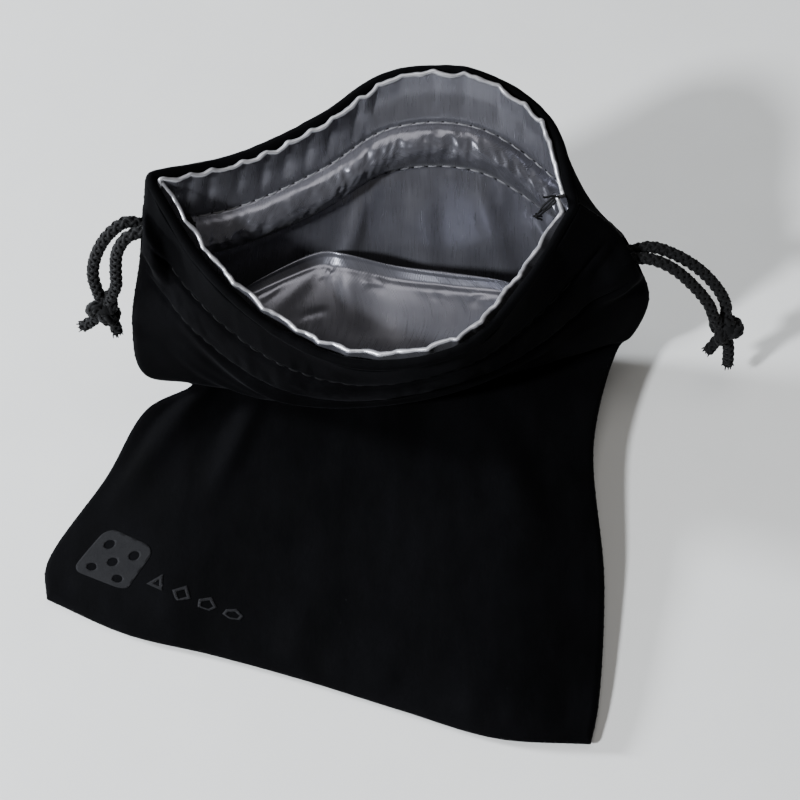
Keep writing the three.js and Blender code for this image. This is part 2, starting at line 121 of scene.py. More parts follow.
# ---------------------------------------------------------------- curves and fields
def spline(points, t):
    """Centripetal Catmull-Rom curves through points (..., n, 3), at shares t from 0 to 1 of the whole."""
    points = np.asarray(points, float)
    count = points.shape[-2]
    before = 2 * points[..., :1, :] - points[..., 1:2, :]
    after = 2 * points[..., -1:, :] - points[..., -2:-1, :]
    padded = np.concatenate([before, points, after], axis=-2)
    place = np.clip(np.atleast_1d(t), 0, 1) * (count - 1)
    leg = np.minimum(place.astype(int), count - 2)
    w = (place - leg)[:, None]
    p0, p1, p2, p3 = (padded[..., leg + k, :] for k in range(4))

    def pace(a, b):
        return np.sqrt(np.linalg.norm(b - a, axis=-1, keepdims=True)) + 1e-9

    d0, d1, d2 = pace(p0, p1), pace(p1, p2), pace(p2, p3)
    t1 = ((p1 - p0) / d0 - (p2 - p0) / (d0 + d1) + (p2 - p1) / d1) * d1
    t2 = ((p2 - p1) / d1 - (p3 - p1) / (d1 + d2) + (p3 - p2) / d2) * d1
    return p1 + t1 * w + (3 * (p2 - p1) - 2 * t1 - t2) * w**2 + (2 * (p1 - p2) + t1 + t2) * w**3


def lengths(points):
    """Distance along each polyline (..., n, 3) to each of its points."""
    steps = np.linalg.norm(np.diff(points, axis=-2), axis=-1)
    start = np.zeros(steps.shape[:-1] + (1,))
    return np.concatenate([start, np.cumsum(steps, axis=-1)], axis=-1)


def read_at(at, places, points):
    """Points or directions known at places, read at other places between them."""
    return np.stack([np.interp(at, places, points[:, k]) for k in range(3)], axis=-1)


def resample(points, count):
    """count points at equal distances along a polyline."""
    along = lengths(points)
    return read_at(np.linspace(0, along[-1], count), along, points)


def ease(x, low, high):
    t = np.clip((x - low) / (high - low), 0, 1)
    return t * t * (3 - 2 * t)


def bell(x, width):
    return np.exp(-((x / width) ** 2))


def noise(x, y, seed):
    """Smooth noise from -1 to 1 over a plane, one lump for each unit."""
    table = np.random.default_rng(seed).uniform(-1, 1, (64, 64))
    xi, yi = np.floor(x).astype(int), np.floor(y).astype(int)
    fx, fy = x - xi, y - yi
    fx, fy = fx * fx * (3 - 2 * fx), fy * fy * (3 - 2 * fy)
    a = table[xi % 64, yi % 64] * (1 - fx) + table[(xi + 1) % 64, yi % 64] * fx
    b = table[xi % 64, (yi + 1) % 64] * (1 - fx) + table[(xi + 1) % 64, (yi + 1) % 64] * fx
    return a * (1 - fy) + b * fy


def fold(x, y, start, end, width, taper=0.35):
    """A soft ridge of height 1 along the line from start to end, fading out towards both ends."""
    start, end = np.array(start, float), np.array(end, float)
    line = end - start
    size = math.hypot(*line)
    share = ((x - start[0]) * line[0] + (y - start[1]) * line[1]) / size**2
    off = ((x - start[0]) * line[1] - (y - start[1]) * line[0]) / size
    fade = ease(share, 0, taper) * (1 - ease(share, 1 - taper, 1))
    return bell(off, width) * fade


# ---------------------------------------------------------------- the panels' control net, in millimetres
LEFT_LOW = [(-77, 0, 1.5), (-77.8, 8, 2.2), (-66, 29, 5.5), (-57.5, 43, 11.5)]
LEFT_KINK = [on_plane(-47.5, 13), on_plane(-58, 17.5)]
LEFT_WALL = [on_plane(-59.3, 31), on_plane(-55.6, 50.5), on_plane(-53, 67.5)]
RIGHT_LOW = [(39.5, -34, 1.5), (41.5, -26, 2), (44.5, 3, 4), (44, 37, 8)]
RIGHT_KINK = [on_plane(51.2, 12), on_plane(53.8, 15)]
RIGHT_WALL = [on_plane(56.8, 25), on_plane(49.4, 42), on_plane(39, 52)]
BOTTOM = [(-59, -8.5, 1.5), (-40, -13.5, 1.5), (-20, -19.5, 1.5), (0, -26.3, 1.5), (20, -32.7, 1.5)]
FRONT_LOW = [
    [(-57, 0, 6.5), (-38, -5.5, 7), (-18, -11.5, 7), (2, -18, 7), (21, -24, 6.5)],
    [(-47, 25, 10), (-29, 20.5, 10.5), (-10, 15.5, 10.5), (9, 10.5, 10.5), (27, 6, 9.5)],
    [(-41.5, 42, 11.8), (-25, 41.5, 12), (-8, 41, 12), (9, 40.5, 12), (26, 40, 11)],
    [on_plane(-39, 13.5), on_plane(-22, 13.3), on_plane(-4, 13), on_plane(14, 12.8), on_plane(32, 12.3)],
    [(-41, 45.5, 17), (-24, 42, 16.3), (-7, 43.5, 16.3), (11, 47, 16.3), (30, 52.5, 16)],
]
FRONT_BELLY = [(-43, 45, 25), (-25.8, 38.6, 21.5), (-8, 38, 20.8), (13.3, 41.5, 22), (31.8, 49.5, 23.5)]
FRONT_RIM = [(-42, 49, 55), (-26, 37.5, 46.5), (-8, 31, 43.7), (13.8, 33.5, 46.4), (28, 49.5, 48.5)]
BACK_LOW = [[(x, y, 0) for x, y, _ in row] for row in FRONT_LOW[:3]] + [
    [on_plane(-39, 3), on_plane(-22, 0), on_plane(-4, 0), on_plane(14, 0), on_plane(32, 0.5)],
    [(-40, 56.5, 8), (-22, 60, 2), (-4, 62.5, 0.6), (14, 65, 0.6), (33, 67.5, 2.5)],
]
BACK_BELLY = [(-39.5, 61, 27), (-21, 66.5, 25), (-4, 70.5, 25), (15.5, 73, 25), (36, 73.5, 22)]
BACK_RIM = [(-35, 73, 62.8), (-18, 82.6, 64), (-2.5, 92.6, 67.2), (17, 94.4, 65.8), (34, 86.4, 58.2)]

SEAM_HALF = VELVET + GAP / 2
STRAND_OFFSET = CORD / 2 + GAP / 2
EYE_GAP = 4 * GAP
EYE_HALF = STRAND_OFFSET + CORD / 2 + EYE_GAP + VELVET
EYE_FULL, EYE_CLOSED = 0.75 * CORD, 2.2 * CORD
EXIT_LEVEL = (CORD + CORDS_APART_AT_SEAM) / 2 / CHANNEL
CHANNEL_MIDDLE = (CHANNEL_LOW + CHANNEL_HIGH) / 2
LEFT_EXIT = CHANNEL_MIDDLE + EXIT_LEVEL
RIGHT_EXIT = CHANNEL_MIDDLE - EXIT_LEVEL
PARTINGS = unit([[0, 0, 1]] * 4 + [[0.08, -0.7, 0.7]] + [list(-PLANE_NORMAL)] * 5)


FINE_STEPS = 400


def wall_stations(wall):
    """Foot, lower and upper stitch row and rim of a wall, measured down from the rim."""
    fine = spline(wall, np.linspace(0, 1, FINE_STEPS))
    along = lengths(fine)
    places = along[-1] - np.array([HEADER + CHANNEL, HEADER])
    return np.vstack([wall[0], read_at(places, along, fine), wall[-1]])


SEAMS = {
    "left": np.vstack([LEFT_LOW, LEFT_KINK, wall_stations(LEFT_WALL)]),
    "right": np.vstack([RIGHT_LOW, RIGHT_KINK, wall_stations(RIGHT_WALL)]),
}


def panel_net(side, low, belly, rim):
    """Ten stations of seven points: the outer two columns are the side seams."""
    belly, rim = np.array(belly, float), np.array(rim, float)
    walls = np.stack([wall_stations([b, (b + r) / 2, r]) for b, r in zip(belly, rim)], axis=1)
    inner = np.concatenate([[BOTTOM + PARTINGS[0] * side * SEAM_HALF], np.array(low, float), walls])
    part = (PARTINGS * side * SEAM_HALF)[:, None, :]
    return np.concatenate([SEAMS["left"][:, None] + part, inner, SEAMS["right"][:, None] + part], axis=1)


NETS = {
    FRONT: panel_net(FRONT, FRONT_LOW, FRONT_BELLY, FRONT_RIM),
    BACK: panel_net(BACK, BACK_LOW, BACK_BELLY, BACK_RIM),
}


def between(rows, station):
    """Rows of points, or of directions, read at stations between them."""
    return read_at(station, np.arange(len(rows)), rows)


EXITS = {"left": between(SEAMS["left"], LEFT_EXIT), "right": between(SEAMS["right"], RIGHT_EXIT)}


def eye_opening(u, station):
    """How far the panels part at the eyes that the cords leave by."""
    from_left = u * BAG_WIDTH
    distance = np.minimum(from_left, BAG_WIDTH - from_left)
    level = np.where(from_left < BAG_WIDTH / 2, LEFT_EXIT, RIGHT_EXIT)
    along = 1 - ease(np.abs(station - level) * CHANNEL, EYE_FULL, EYE_CLOSED)
    return (EYE_HALF - SEAM_HALF) * along * (1 - ease(distance, CORD, EYE_REACH))


def outer_face(side, u, stations):
    """Grid (len(u), len(stations), 3) of a panel's outer face before its folds."""
    columns = np.swapaxes(spline(NETS[side], u), 0, 1)
    grid = spline(columns, stations / RIM)
    opening = eye_opening(u[:, None], stations[None, :])
    grid = grid + between(PARTINGS, stations)[None] * (side * opening)[..., None]
    if side == BACK:
        grid[..., 2] = np.maximum(grid[..., 2], 0)
    return grid


def normals(grid):
    """Unit normals of a grid of points, by central differences."""
    across = np.gradient(grid, axis=0)
    along = np.gradient(grid, axis=1)
    return unit(np.cross(across, along) + 1e-12)


class Panel:
    """A panel's outer face on a fine grid, with millimetre coordinates over the cloth."""

    def __init__(self, side, u, stations):
        self.side, self.u, self.stations = side, u, stations
        self.base = outer_face(side, u, stations)
        self.out = normals(self.base) * side
        self.across = np.broadcast_to((u * BAG_WIDTH)[:, None], self.base.shape[:2])
        self.edge = np.minimum(self.across, BAG_WIDTH - self.across)
        self.station = np.broadcast_to(stations[None, :], self.base.shape[:2])
        along = lengths(self.base)
        self.below_rim = along[:, -1:] - along
        self.above_start = along

    def at(self, depth):
        """The grid moved into the cloth by depth millimetres."""
        return self.base - self.out * np.asarray(depth)[..., None]


# ---------------------------------------------------------------- meshes
def link(mesh):
    piece = bpy.data.objects.new(mesh.name, mesh)
    bpy.context.scene.collection.objects.link(piece)
    return piece


def mesh_piece(name, points, faces, material, smooth=True):
    """A mesh object from points in millimetres."""
    mesh = bpy.data.meshes.new(name)
    mesh.from_pydata(metres(points).tolist(), [], [list(map(int, f)) for f in faces])
    mesh.update()
    mesh.polygons.foreach_set("use_smooth", [smooth] * len(mesh.polygons))
    mesh.materials.append(material)
    mesh.validate()
    return link(mesh)


def grid_faces(rows, columns, first=0, flip=False, wrap=False):
    """Quads over a grid whose points are numbered row by row."""
    i = np.arange(rows - 1)[:, None]
    j = np.arange(columns if wrap else columns - 1)[None, :]
    k = (j + 1) % columns
    quads = np.stack(np.broadcast_arrays(i * columns + j, (i + 1) * columns + j, (i + 1) * columns + k,
                                         i * columns + k), axis=-1)
    quads = quads.reshape(-1, 4) + first
    return quads[:, ::-1] if flip else quads


def sheet_piece(name, outer, inner, material, flip=False):
    """A closed sheet of cloth between two grids of the same size."""
    rows, columns = outer.shape[:2]
    count = rows * columns
    faces = [grid_faces(rows, columns, 0, flip), grid_faces(rows, columns, count, not flip)]
    ring = np.concatenate([
        np.arange(columns), (np.arange(1, rows) + 1) * columns - 1,
        count - 2 - np.arange(columns - 1), (np.arange(rows - 2, 0, -1)) * columns,
    ])
    after = np.roll(ring, -1)
    rim = np.stack([ring, after, after + count, ring + count], axis=-1)
    faces.append(rim[:, ::-1] if flip else rim)
    points = np.concatenate([outer.reshape(-1, 3), inner.reshape(-1, 3)])
    return mesh_piece(name, points, np.concatenate(faces), material)


def frames_along(path, closed=False):
    """Two unit directions across a path at each point, turning as little as they can."""
    ahead = np.roll(path, -1, 0) - np.roll(path, 1, 0) if closed else np.gradient(path, axis=0)
    ahead = unit(ahead)
    side = np.zeros_like(path)
    start = np.cross(ahead[0], [0, 0, 1.0])
    side[0] = unit(start if np.linalg.norm(start) > 0.1 else np.cross(ahead[0], [0, 1.0, 0]))
    for i in range(1, len(path)):
        step = side[i - 1] - ahead[i] * (side[i - 1] @ ahead[i])
        side[i] = unit(step)
    if closed:
        last = side[-1] - ahead[0] * (side[-1] @ ahead[0])
        last = unit(last)
        twist = math.atan2(np.cross(last, side[0]) @ ahead[0], last @ side[0])
        turn = twist * np.arange(len(path)) / len(path)
        other = np.cross(ahead, side)
        side = side * np.cos(turn)[:, None] + other * np.sin(turn)[:, None]
    return side, np.cross(ahead, side)


def tube_mesh(path, radius, sides=10, closed=False, across=None, squash=1.0):
    """Points and faces of a tube along a path, with flat ends. across may fix the first section direction."""
    side, other = frames_along(path, closed) if across is None else across
    radius = np.broadcast_to(np.asarray(radius, float), (len(path),))
    angle = np.arange(sides) / sides * 2 * math.pi
    ring = (side[:, None] * np.cos(angle)[None, :, None]
            + other[:, None] * np.sin(angle)[None, :, None] * squash)
    points = path[:, None] + ring * radius[:, None, None]
    if closed:
        points = np.concatenate([points, points[:1]])
        faces = grid_faces(len(points), sides, flip=True, wrap=True)
        points = points[:-1].reshape(-1, 3)
        return points, faces % len(points)
    faces = list(grid_faces(len(path), sides, flip=True, wrap=True))
    count = len(path) * sides
    faces.append(list(range(sides - 1, -1, -1)))
    faces.append(list(range(count - sides, count)))
    return points.reshape(-1, 3), faces


def join_parts(parts):
    """One list of points and faces from several."""
    points, faces, first = [], [], 0
    for p, f in parts:
        points.append(np.asarray(p))
        faces.extend([[int(v) + first for v in face] for face in f])
        first += len(p)
    return np.concatenate(points), faces


# ---------------------------------------------------------------- materials
def add_node(tree, kind, inputs=(), **settings):
    node = tree.nodes.new(kind)
    for key, value in settings.items():
        setattr(node, key, value)
    for key, value in dict(inputs).items():
        if isinstance(value, bpy.types.NodeSocket):
            tree.links.new(value, node.inputs[key])
        else:
            node.inputs[key].default_value = value
    return node


def new_material(name, **sockets):
    material = bpy.data.materials.new(name)
    material.use_nodes = True
    shader = material.node_tree.nodes["Principled BSDF"]
    for key, value in sockets.items():
        shader.inputs[key.replace("_", " ")].default_value = value
    return material, material.node_tree, shader


def noise_node(tree, coordinates, scale, detail=2.0, roughness=0.5):
    return add_node(tree, "ShaderNodeTexNoise",
                    {"Vector": coordinates, "Scale": scale, "Detail": detail, "Roughness": roughness})


def ramp(tree, value, low, high, dark, light):
    node = add_node(tree, "ShaderNodeValToRGB", {"Fac": value})
    node.color_ramp.elements[0].position, node.color_ramp.elements[1].position = low, high
    node.color_ramp.elements[0].color, node.color_ramp.elements[1].color = (*dark, 1), (*light, 1)
    return node.outputs["Color"]


def stretch(tree, coordinates, scale):
    return add_node(tree, "ShaderNodeMapping", {"Vector": coordinates, "Scale": scale}).outputs["Vector"]


def mix_colours(tree, blend, first, second):
    node = add_node(tree, "ShaderNodeMix", data_type="RGBA", blend_type=blend)
    node.inputs["Factor"].default_value = 1
    tree.links.new(first, node.inputs["A"])
    tree.links.new(second, node.inputs["B"])
    return node.outputs["Result"]


def spread(tree, value, low, high):
    inputs = {"Value": value, "To Min": low, "To Max": high}
    return add_node(tree, "ShaderNodeMapRange", inputs).outputs["Result"]


def bump(tree, height, strength, distance, under=None):
    inputs = {"Height": height, "Strength": strength, "Distance": distance}
    if under:
        inputs["Normal"] = under
    return add_node(tree, "ShaderNodeBump", inputs).outputs["Normal"]


def finish_shader(tree, shader, colour, roughness, normal):
    for socket, value in (("Base Color", colour), ("Roughness", roughness), ("Normal", normal)):
        tree.links.new(value, shader.inputs[socket])


def velvet_material():
    """Short black pile: fine grain, brushed patches that lie the other way, and a soft sheen."""
    material, tree, shader = new_material(
        "velvet", Sheen_Weight=0.014, Sheen_Roughness=0.35, Sheen_Tint=(0.6, 0.6, 0.68, 1),
        Specular_IOR_Level=0.03)
    place = add_node(tree, "ShaderNodeTexCoord").outputs["Object"]
    pile = noise_node(tree, place, 4200, 3.0, 0.7)
    brushed = noise_node(tree, stretch(tree, place, (1, 0.45, 0.7)), 95, 4.0, 0.6)
    lint = noise_node(tree, place, 900, 2.0, 0.5)
    patches = ramp(tree, brushed.outputs["Fac"], 0.35, 0.72, (0.0007, 0.0007, 0.0009),
                   (0.0021, 0.0021, 0.0026))
    grain = ramp(tree, pile.outputs["Fac"], 0.3, 0.75, (0.45, 0.45, 0.45), (1.5, 1.5, 1.5))
    specks = ramp(tree, lint.outputs["Fac"], 0.80, 0.84, (0, 0, 0), (0.012, 0.012, 0.013))
    colour = mix_colours(tree, "ADD", mix_colours(tree, "MULTIPLY", patches, grain), specks)
    rough = spread(tree, brushed.outputs["Fac"], 0.8, 1.0)
    coarse = bump(tree, brushed.outputs["Fac"], 0.35, 0.0006)
    finish_shader(tree, shader, colour, rough, bump(tree, pile.outputs["Fac"], 0.6, 0.00012, coarse))
    return material


def satin_material(name, light, dark, roughness):
    """Silver-grey satin: a fine diagonal twill, slight thread streaks and a soft gloss."""
    material, tree, shader = new_material(
        name, Metallic=0.74, Specular_IOR_Level=0.6, Anisotropic=0.3, Sheen_Weight=0.05,
        Sheen_Roughness=0.5)
    cloth = add_node(tree, "ShaderNodeUVMap", uv_map="cloth").outputs["UV"]
    twill = add_node(tree, "ShaderNodeTexWave", {
        "Vector": cloth, "Scale": 1500, "Distortion": 0.6, "Detail": 1.0, "Detail Scale": 2.0,
    }, bands_direction="DIAGONAL")
    streaks = noise_node(tree, stretch(tree, cloth, (1, 0.05, 1)), 2600, 2.0, 0.6)
    body = noise_node(tree, cloth, 70, 3.0, 0.55)
    colour = ramp(tree, body.outputs["Fac"], 0.3, 0.7, dark, light)
    thread = ramp(tree, streaks.outputs["Fac"], 0.3, 0.7, (0.86, 0.86, 0.86), (1.0, 1.0, 1.0))
    rough = spread(tree, streaks.outputs["Fac"], *roughness)
    weave = bump(tree, twill.outputs["Fac"], 0.2, 0.00004)
    soft = bump(tree, body.outputs["Fac"], 0.2, 0.0004, weave)
    finish_shader(tree, shader, mix_colours(tree, "MULTIPLY", colour, thread), rough, soft)
    return material


def fibre_material(name, dark, light, roughness, scale=3200, sheen=0.04):
    """Spun or braided yarn: fine fibres with light and dark ones mixed."""
    material, tree, shader = new_material(
        name, Sheen_Weight=sheen, Sheen_Roughness=0.5, Specular_IOR_Level=0.12)
    place = add_node(tree, "ShaderNodeTexCoord").outputs["Object"]
    fibres = noise_node(tree, place, scale, 3.0, 0.7)
    lumps = noise_node(tree, place, scale / 8, 2.0, 0.5)
    colour = ramp(tree, fibres.outputs["Fac"], 0.3, 0.75, dark, light)
    rough = spread(tree, lumps.outputs["Fac"], roughness - 0.1, roughness + 0.1)
    finish_shader(tree, shader, colour, rough, bump(tree, fibres.outputs["Fac"], 0.5, 0.0001))
    return material


def floor_material():
    material, tree, shader = new_material("pale_floor", Specular_IOR_Level=0.25, Roughness=0.7)
    place = add_node(tree, "ShaderNodeTexCoord").outputs["Object"]
    paper = noise_node(tree, place, 35, 4.0, 0.6)
    tone = ramp(tree, paper.outputs["Fac"], 0.3, 0.7, (0.60, 0.60, 0.592), (0.625, 0.625, 0.617))
    tree.links.new(tone, shader.inputs["Base Color"])
    return material


VELVET_LOOK = velvet_material()
SATIN_LOOK = satin_material("satin", (0.18, 0.18, 0.208), (0.125, 0.125, 0.148), (0.22, 0.36))
# The rim piping is a fold of the same satin as the lining, coloured far lighter: its lightness is a painted
# highlight.
SATIN_EDGE_PAINTED_HIGHLIGHT_LOOK = satin_material("satin_edge_painted_highlight", (0.60, 0.60, 0.635), (0.46, 0.46, 0.50), (0.3, 0.42))
CORD_LOOK = fibre_material("braided_cord", (0.0010, 0.0010, 0.0012), (0.0045, 0.0045, 0.0052), 0.75)
THREAD_LOOK = fibre_material(
    "black_thread", (0.0012, 0.0012, 0.0015), (0.005, 0.005, 0.0058), 0.75, 6000, 0.01)
GREY_THREAD_LOOK = fibre_material("grey_thread", (0.10, 0.10, 0.11), (0.22, 0.22, 0.235), 0.5, 6000, 0.1)
# Near-black plugs at the needle holes: painted shade in the holes.
HOLE_SHADE_LOOK = fibre_material("needle_hole_painted_shade", (0.003, 0.003, 0.003), (0.012, 0.012, 0.013), 0.9, 6000, 0.0)
PRINT_LOOK = fibre_material("grey_ink", (0.003, 0.003, 0.0036), (0.0095, 0.0095, 0.011), 0.85, 3600, 0.0)


def stands_for(node):
    """The piece takes the place of a CAD node, which is hidden."""
    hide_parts(node)


# ---------------------------------------------------------------- cords
CARRIERS = 4
BRAID_PITCH = 7.6
CORE_RADIUS = 0.92
CARRIER_REACH, CARRIER_WEAVE = 1.0, 0.13
CARRIER_WIDTH, CARRIER_END, CARRIER_SQUASH = 0.32, 0.12, 1.65


def braid_parts(path, step, sides):
    """A round braid: a core and eight flat carriers that pass over and under each other."""
    path = resample(path, max(12, int(lengths(path)[-1] / step)))
    along = lengths(path)
    side, other = frames_along(path)
    parts = [tube_mesh(path, CORE_RADIUS, 10, across=(side, other))]
    weave = np.cos(8 * math.pi * along / BRAID_PITCH)
    for way in (1, -1):
        for k in range(CARRIERS):
            angle = way * 2 * math.pi * along / BRAID_PITCH + k * math.pi / 2
            radial = side * np.cos(angle)[:, None] + other * np.sin(angle)[:, None]
            around = np.cross(np.gradient(path, axis=0), radial)
            line = path + radial * (CARRIER_REACH + way * CARRIER_WEAVE * weave)[:, None]
            width = CARRIER_WIDTH * np.ones(len(path))
            width[0] = width[-1] = CARRIER_END
            across = radial, unit(around)
            parts.append(tube_mesh(line, width, sides, across=across, squash=CARRIER_SQUASH))
    return parts


def offset_from(exit_name, points):
    return [EXITS[exit_name] + np.array(p, float) for p in points]


STRAND_ROUTES = {
    ("left", BACK): [(-3.4, 1.4, 0.2), (-7.4, 0.4, -2.6), (-10.6, -1, -7.6), (-12, -2.2, -13),
                     (-11.6, -3, -17.6)],
    ("left", FRONT): [(-3, -1.9, -0.8), (-5.6, -2.7, -4.8), (-6.6, -3.4, -10.4), (-7, -3.9, -14.6),
                      (-8.4, -4.2, -18)],
    ("right", BACK): [(4.2, 1.5, 0.8), (9.2, 0.2, 0), (15.2, -1.6, -3.2), (20, -3.6, -8),
                      (22.2, -4.8, -12.2)],
    ("right", FRONT): [(4, -1.9, 0.6), (8.8, -3.2, -0.9), (13.8, -4.6, -5.2), (17.9, -6.4, -10),
                       (19.6, -7.4, -13.8)],
}
KNOTS = {
    "left": [(-10.6, -4, -22.8), (-16.4, -4.6, -28.6), (-8.6, -5, -30)],
    "right": [(22.8, -6.9, -18.2), (25, -8, -30.6), (19.4, -8.6, -24.8)],
}
SIDE_NAMES = {FRONT: "front", BACK: "back"}
INTO_KNOT = 0.55
ROUTE_POINTS = 32


def strand(end, side):
    """One free strand, from just inside the seam to its knot."""
    inside = INTO_BAG * (1 if end == "left" else -1)
    shift = -side * STRAND_OFFSET * PLANE_NORMAL
    start = [EXITS[end] + inside * distance + shift for distance in (CORD_INSIDE - GAP, CORD_INSIDE / 2, 0)]
    free = offset_from(end, STRAND_ROUTES[end, side])
    middle = offset_from(end, KNOTS[end])[0]
    free.append(free[-1] + (middle - free[-1]) * INTO_KNOT)
    curve = spline(start + free, np.linspace(0, 1, 240))
    route = resample(curve, ROUTE_POINTS)
    points, faces = join_parts(braid_parts(curve, 0.25, 8))
    name = f"{end}_cord_{SIDE_NAMES[side]}_strand"
    piece = mesh_piece(name + "_braid", points, faces, CORD_LOOK)
    stands_for(name)
    return piece, route


def overhand(middle, strands_from, tails):
    """A pulled-tight overhand knot: a trefoil of cord, and two cut tails that leave it."""
    t = np.linspace(0, 2 * math.pi, 160, endpoint=False)
    axis = unit([0.15, -0.75, 0.65])
    along = unit(np.mean(tails, axis=0) - strands_from)
    across = unit(np.cross(axis, along))
    along = np.cross(across, axis)
    loop = (across * (np.sin(t) + 2 * np.sin(2 * t))[:, None] * 0.98
            + along * (np.cos(t) - 2 * np.cos(2 * t))[:, None] * 0.9
            + axis * (-1.75 * np.sin(3 * t))[:, None])
    loop = middle + loop
    loop = np.concatenate([loop, loop[:2]])
    parts = braid_parts(loop, 0.28, 7)
    fill = tube_mesh(middle + np.outer([-2.2, -1, 1, 2.2], along), [1.2, 2.6, 2.6, 1.2], 12)
    parts.append(fill)
    for tail in tails:
        start = middle + unit(tail - middle) * 1.5
        bend = (start + tail) / 2 + across * 0.5
        tail_path = spline(np.array([start, bend, tail]), np.linspace(0, 1, 60))
        parts += braid_parts(tail_path, 0.28, 7)
        parts += frayed_end(tail_path)
    return parts


YARNS = 14
YARN_RADII = [0.2, 0.2, 0.18, 0.14, 0.06]


def frayed_end(path):
    """The short yarns that stick out of a cut end."""
    ahead = unit(path[-1] - path[-4])
    side, other = frames_along(path)
    parts = []
    for k in range(YARNS):
        angle, reach = k * 2.4, 0.35 + 0.75 * (k % 3) / 2
        away = side[-1] * math.cos(angle) + other[-1] * math.sin(angle)
        foot = path[-1] + away * reach - ahead * 0.4
        lean = away * 0.35
        tip = foot + ahead * (0.9 + 0.35 * math.sin(5.0 * k)) + lean
        yarn = spline(np.array([foot, (foot + tip) / 2 + lean * 0.2, tip]), np.linspace(0, 1, 5))
        parts.append(tube_mesh(yarn, YARN_RADII, 5))
    return parts


def free_end(end):
    """Both strands of one side with their knot."""
    middle, *tails = offset_from(end, KNOTS[end])
    knot_points, knot_faces = join_parts(overhand(middle, EXITS[end], tails))
    knot = mesh_piece(f"{end}_cord_overhand_knot", knot_points, knot_faces, CORD_LOOK)
    stands_for(f"{end}_cord_knot")
    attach(knot, f"{end}_cord_end")
    for side in (FRONT, BACK):
        piece, route = strand(end, side)
        route_m = metres(route)
        length = float(lengths(route_m)[-1])
        metres(EXITS[end]).tolist()
        metres(middle).tolist()
        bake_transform(piece)


for cord_side in ("left", "right"):
    free_end(cord_side)

RUN_EDGE = 16.0
RUN_START, RUN_END = RUN_EDGE - 1.4 * CORD, 9.0
RUN_CORNER, FAR_CORNER = RUN_EDGE - 0.3 * CORD, RUN_EDGE - CORD
RUN_POINTS = 16
DOORWAY = 0.6 * CORD
CORDS_APART = 1.2
CORDS_BELOW_MIDDLE = 0.175
TURN_INSIDE = 5.4
CORD_DEPTH = VELVET + 1.5 * GAP + CORD / 2


def flattens(piece):
    """Attaches the piece to the bag's body and gives it a mesh of its own."""
    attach(piece, "bag")
    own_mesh(piece)
    return piece


def cord_run(end):
    """A cord inside the channel: round the front, through the far corner and back along the back."""
    from_left = end == "left"
    rise = 1 if from_left else -1
    inside = INTO_BAG * (1 if from_left else -1)
    shares = np.linspace(RUN_START / BAG_WIDTH, 1 - RUN_END / BAG_WIDTH, RUN_POINTS)
    corner = np.maximum(1 - shares / (RUN_CORNER / BAG_WIDTH), 1 - (1 - shares) / (FAR_CORNER / BAG_WIDTH))
    corner = np.maximum(corner, 0)
    middle_level = CHANNEL_MIDDLE - (1 - corner) * CORDS_BELOW_MIDDLE / CHANNEL
    in_middle, at_seam = (CORD + CORDS_APART) / 2 / CHANNEL, EXIT_LEVEL
    level = middle_level + rise * (in_middle + (at_seam - in_middle) * corner)
    u = shares if from_left else 1 - shares
    walls = []
    for side in (FRONT, BACK):
        order = np.argsort(u)
        panel = Panel(side, u[order], np.linspace(CHANNEL_LOW, CHANNEL_HIGH, 21))
        deep = panel.at(0 * panel.across + CORD_DEPTH)
        back_to = np.argsort(order)
        wall = [[np.interp(level[i], panel.stations, deep[back_to[i], :, k]) for k in range(3)]
                for i in range(len(u))]
        walls.append(np.array(wall))
    doors = [[EXITS[end] + inside * d - side * STRAND_OFFSET * PLANE_NORMAL
              for d in (CORD_INSIDE, CORD_INSIDE + DOORWAY)] for side in (FRONT, BACK)]
    far = SEAMS["right" if from_left else "left"]
    turn = between(far, LEFT_EXIT if from_left else RIGHT_EXIT) - inside * TURN_INSIDE
    route = [*doors[0], *walls[0], turn, *walls[1][::-1], *doors[1][::-1]]
    curve = spline(np.array(route), np.linspace(0, 1, 700))
    points, faces = join_parts(braid_parts(curve, 0.6, 6))
    piece = mesh_piece(f"{end}_cord_in_channel", points, faces, CORD_LOOK)
    stands_for(f"{end}_cord_run")
    return flattens(piece)


for cord_side in ("left", "right"):
    cord_run(cord_side)


# ---------------------------------------------------------------- grids of the panels
def edge_steps(step):
    """Shares across the cloth, closer together beside the seams where the edge is rounded."""
    near = [0, 0.1, 0.3, 0.55, 0.85, 1.2, 1.6, 2.1, 2.7, 3.4, 4.2]
    count = int(round((BAG_WIDTH - 2 * near[-1]) / step))
    middle = np.linspace(near[-1], BAG_WIDTH - near[-1], count)
    return np.concatenate([near[:-1], middle, BAG_WIDTH - np.array(near[:-1])[::-1]]) / BAG_WIDTH


def station_steps(stops):
    """Stations from (station, rows up to it) pairs."""
    parts = [np.array([stops[0][0]], float)]
    for (low, _), (high, rows) in zip(stops[:-1], stops[1:]):
        parts.append(np.linspace(low, high, rows + 1)[1:])
    return np.concatenate(parts)


LOW_STATIONS = np.concatenate([[0, 0.01, 0.03, 0.06, 0.1, 0.14, 0.2, 0.28], np.linspace(0.36, 1, 10)[:9],
                               station_steps([(1, 0), (2, 26), (3, 20), (4, 22)])])
HIGH_STATIONS = station_steps([(4, 0), (5, 12), (6, 16), (7, 14), (8, 22), (9, 22)])
COLUMN_STEP = 0.85
EDGE_ROUND = 1.55


def rounded_edge(panel, bottom_too):
    """How far the outer face drops to the seam plane beside the seams, along the parting."""
    distance = panel.edge.copy()
    if bottom_too:
        distance = np.minimum(distance, panel.above_start)
    share = np.clip(distance / EDGE_ROUND, 0, 1)
    return SEAM_HALF * (1 - np.sqrt(np.clip(1 - (1 - share) ** 2, 0, 1)))


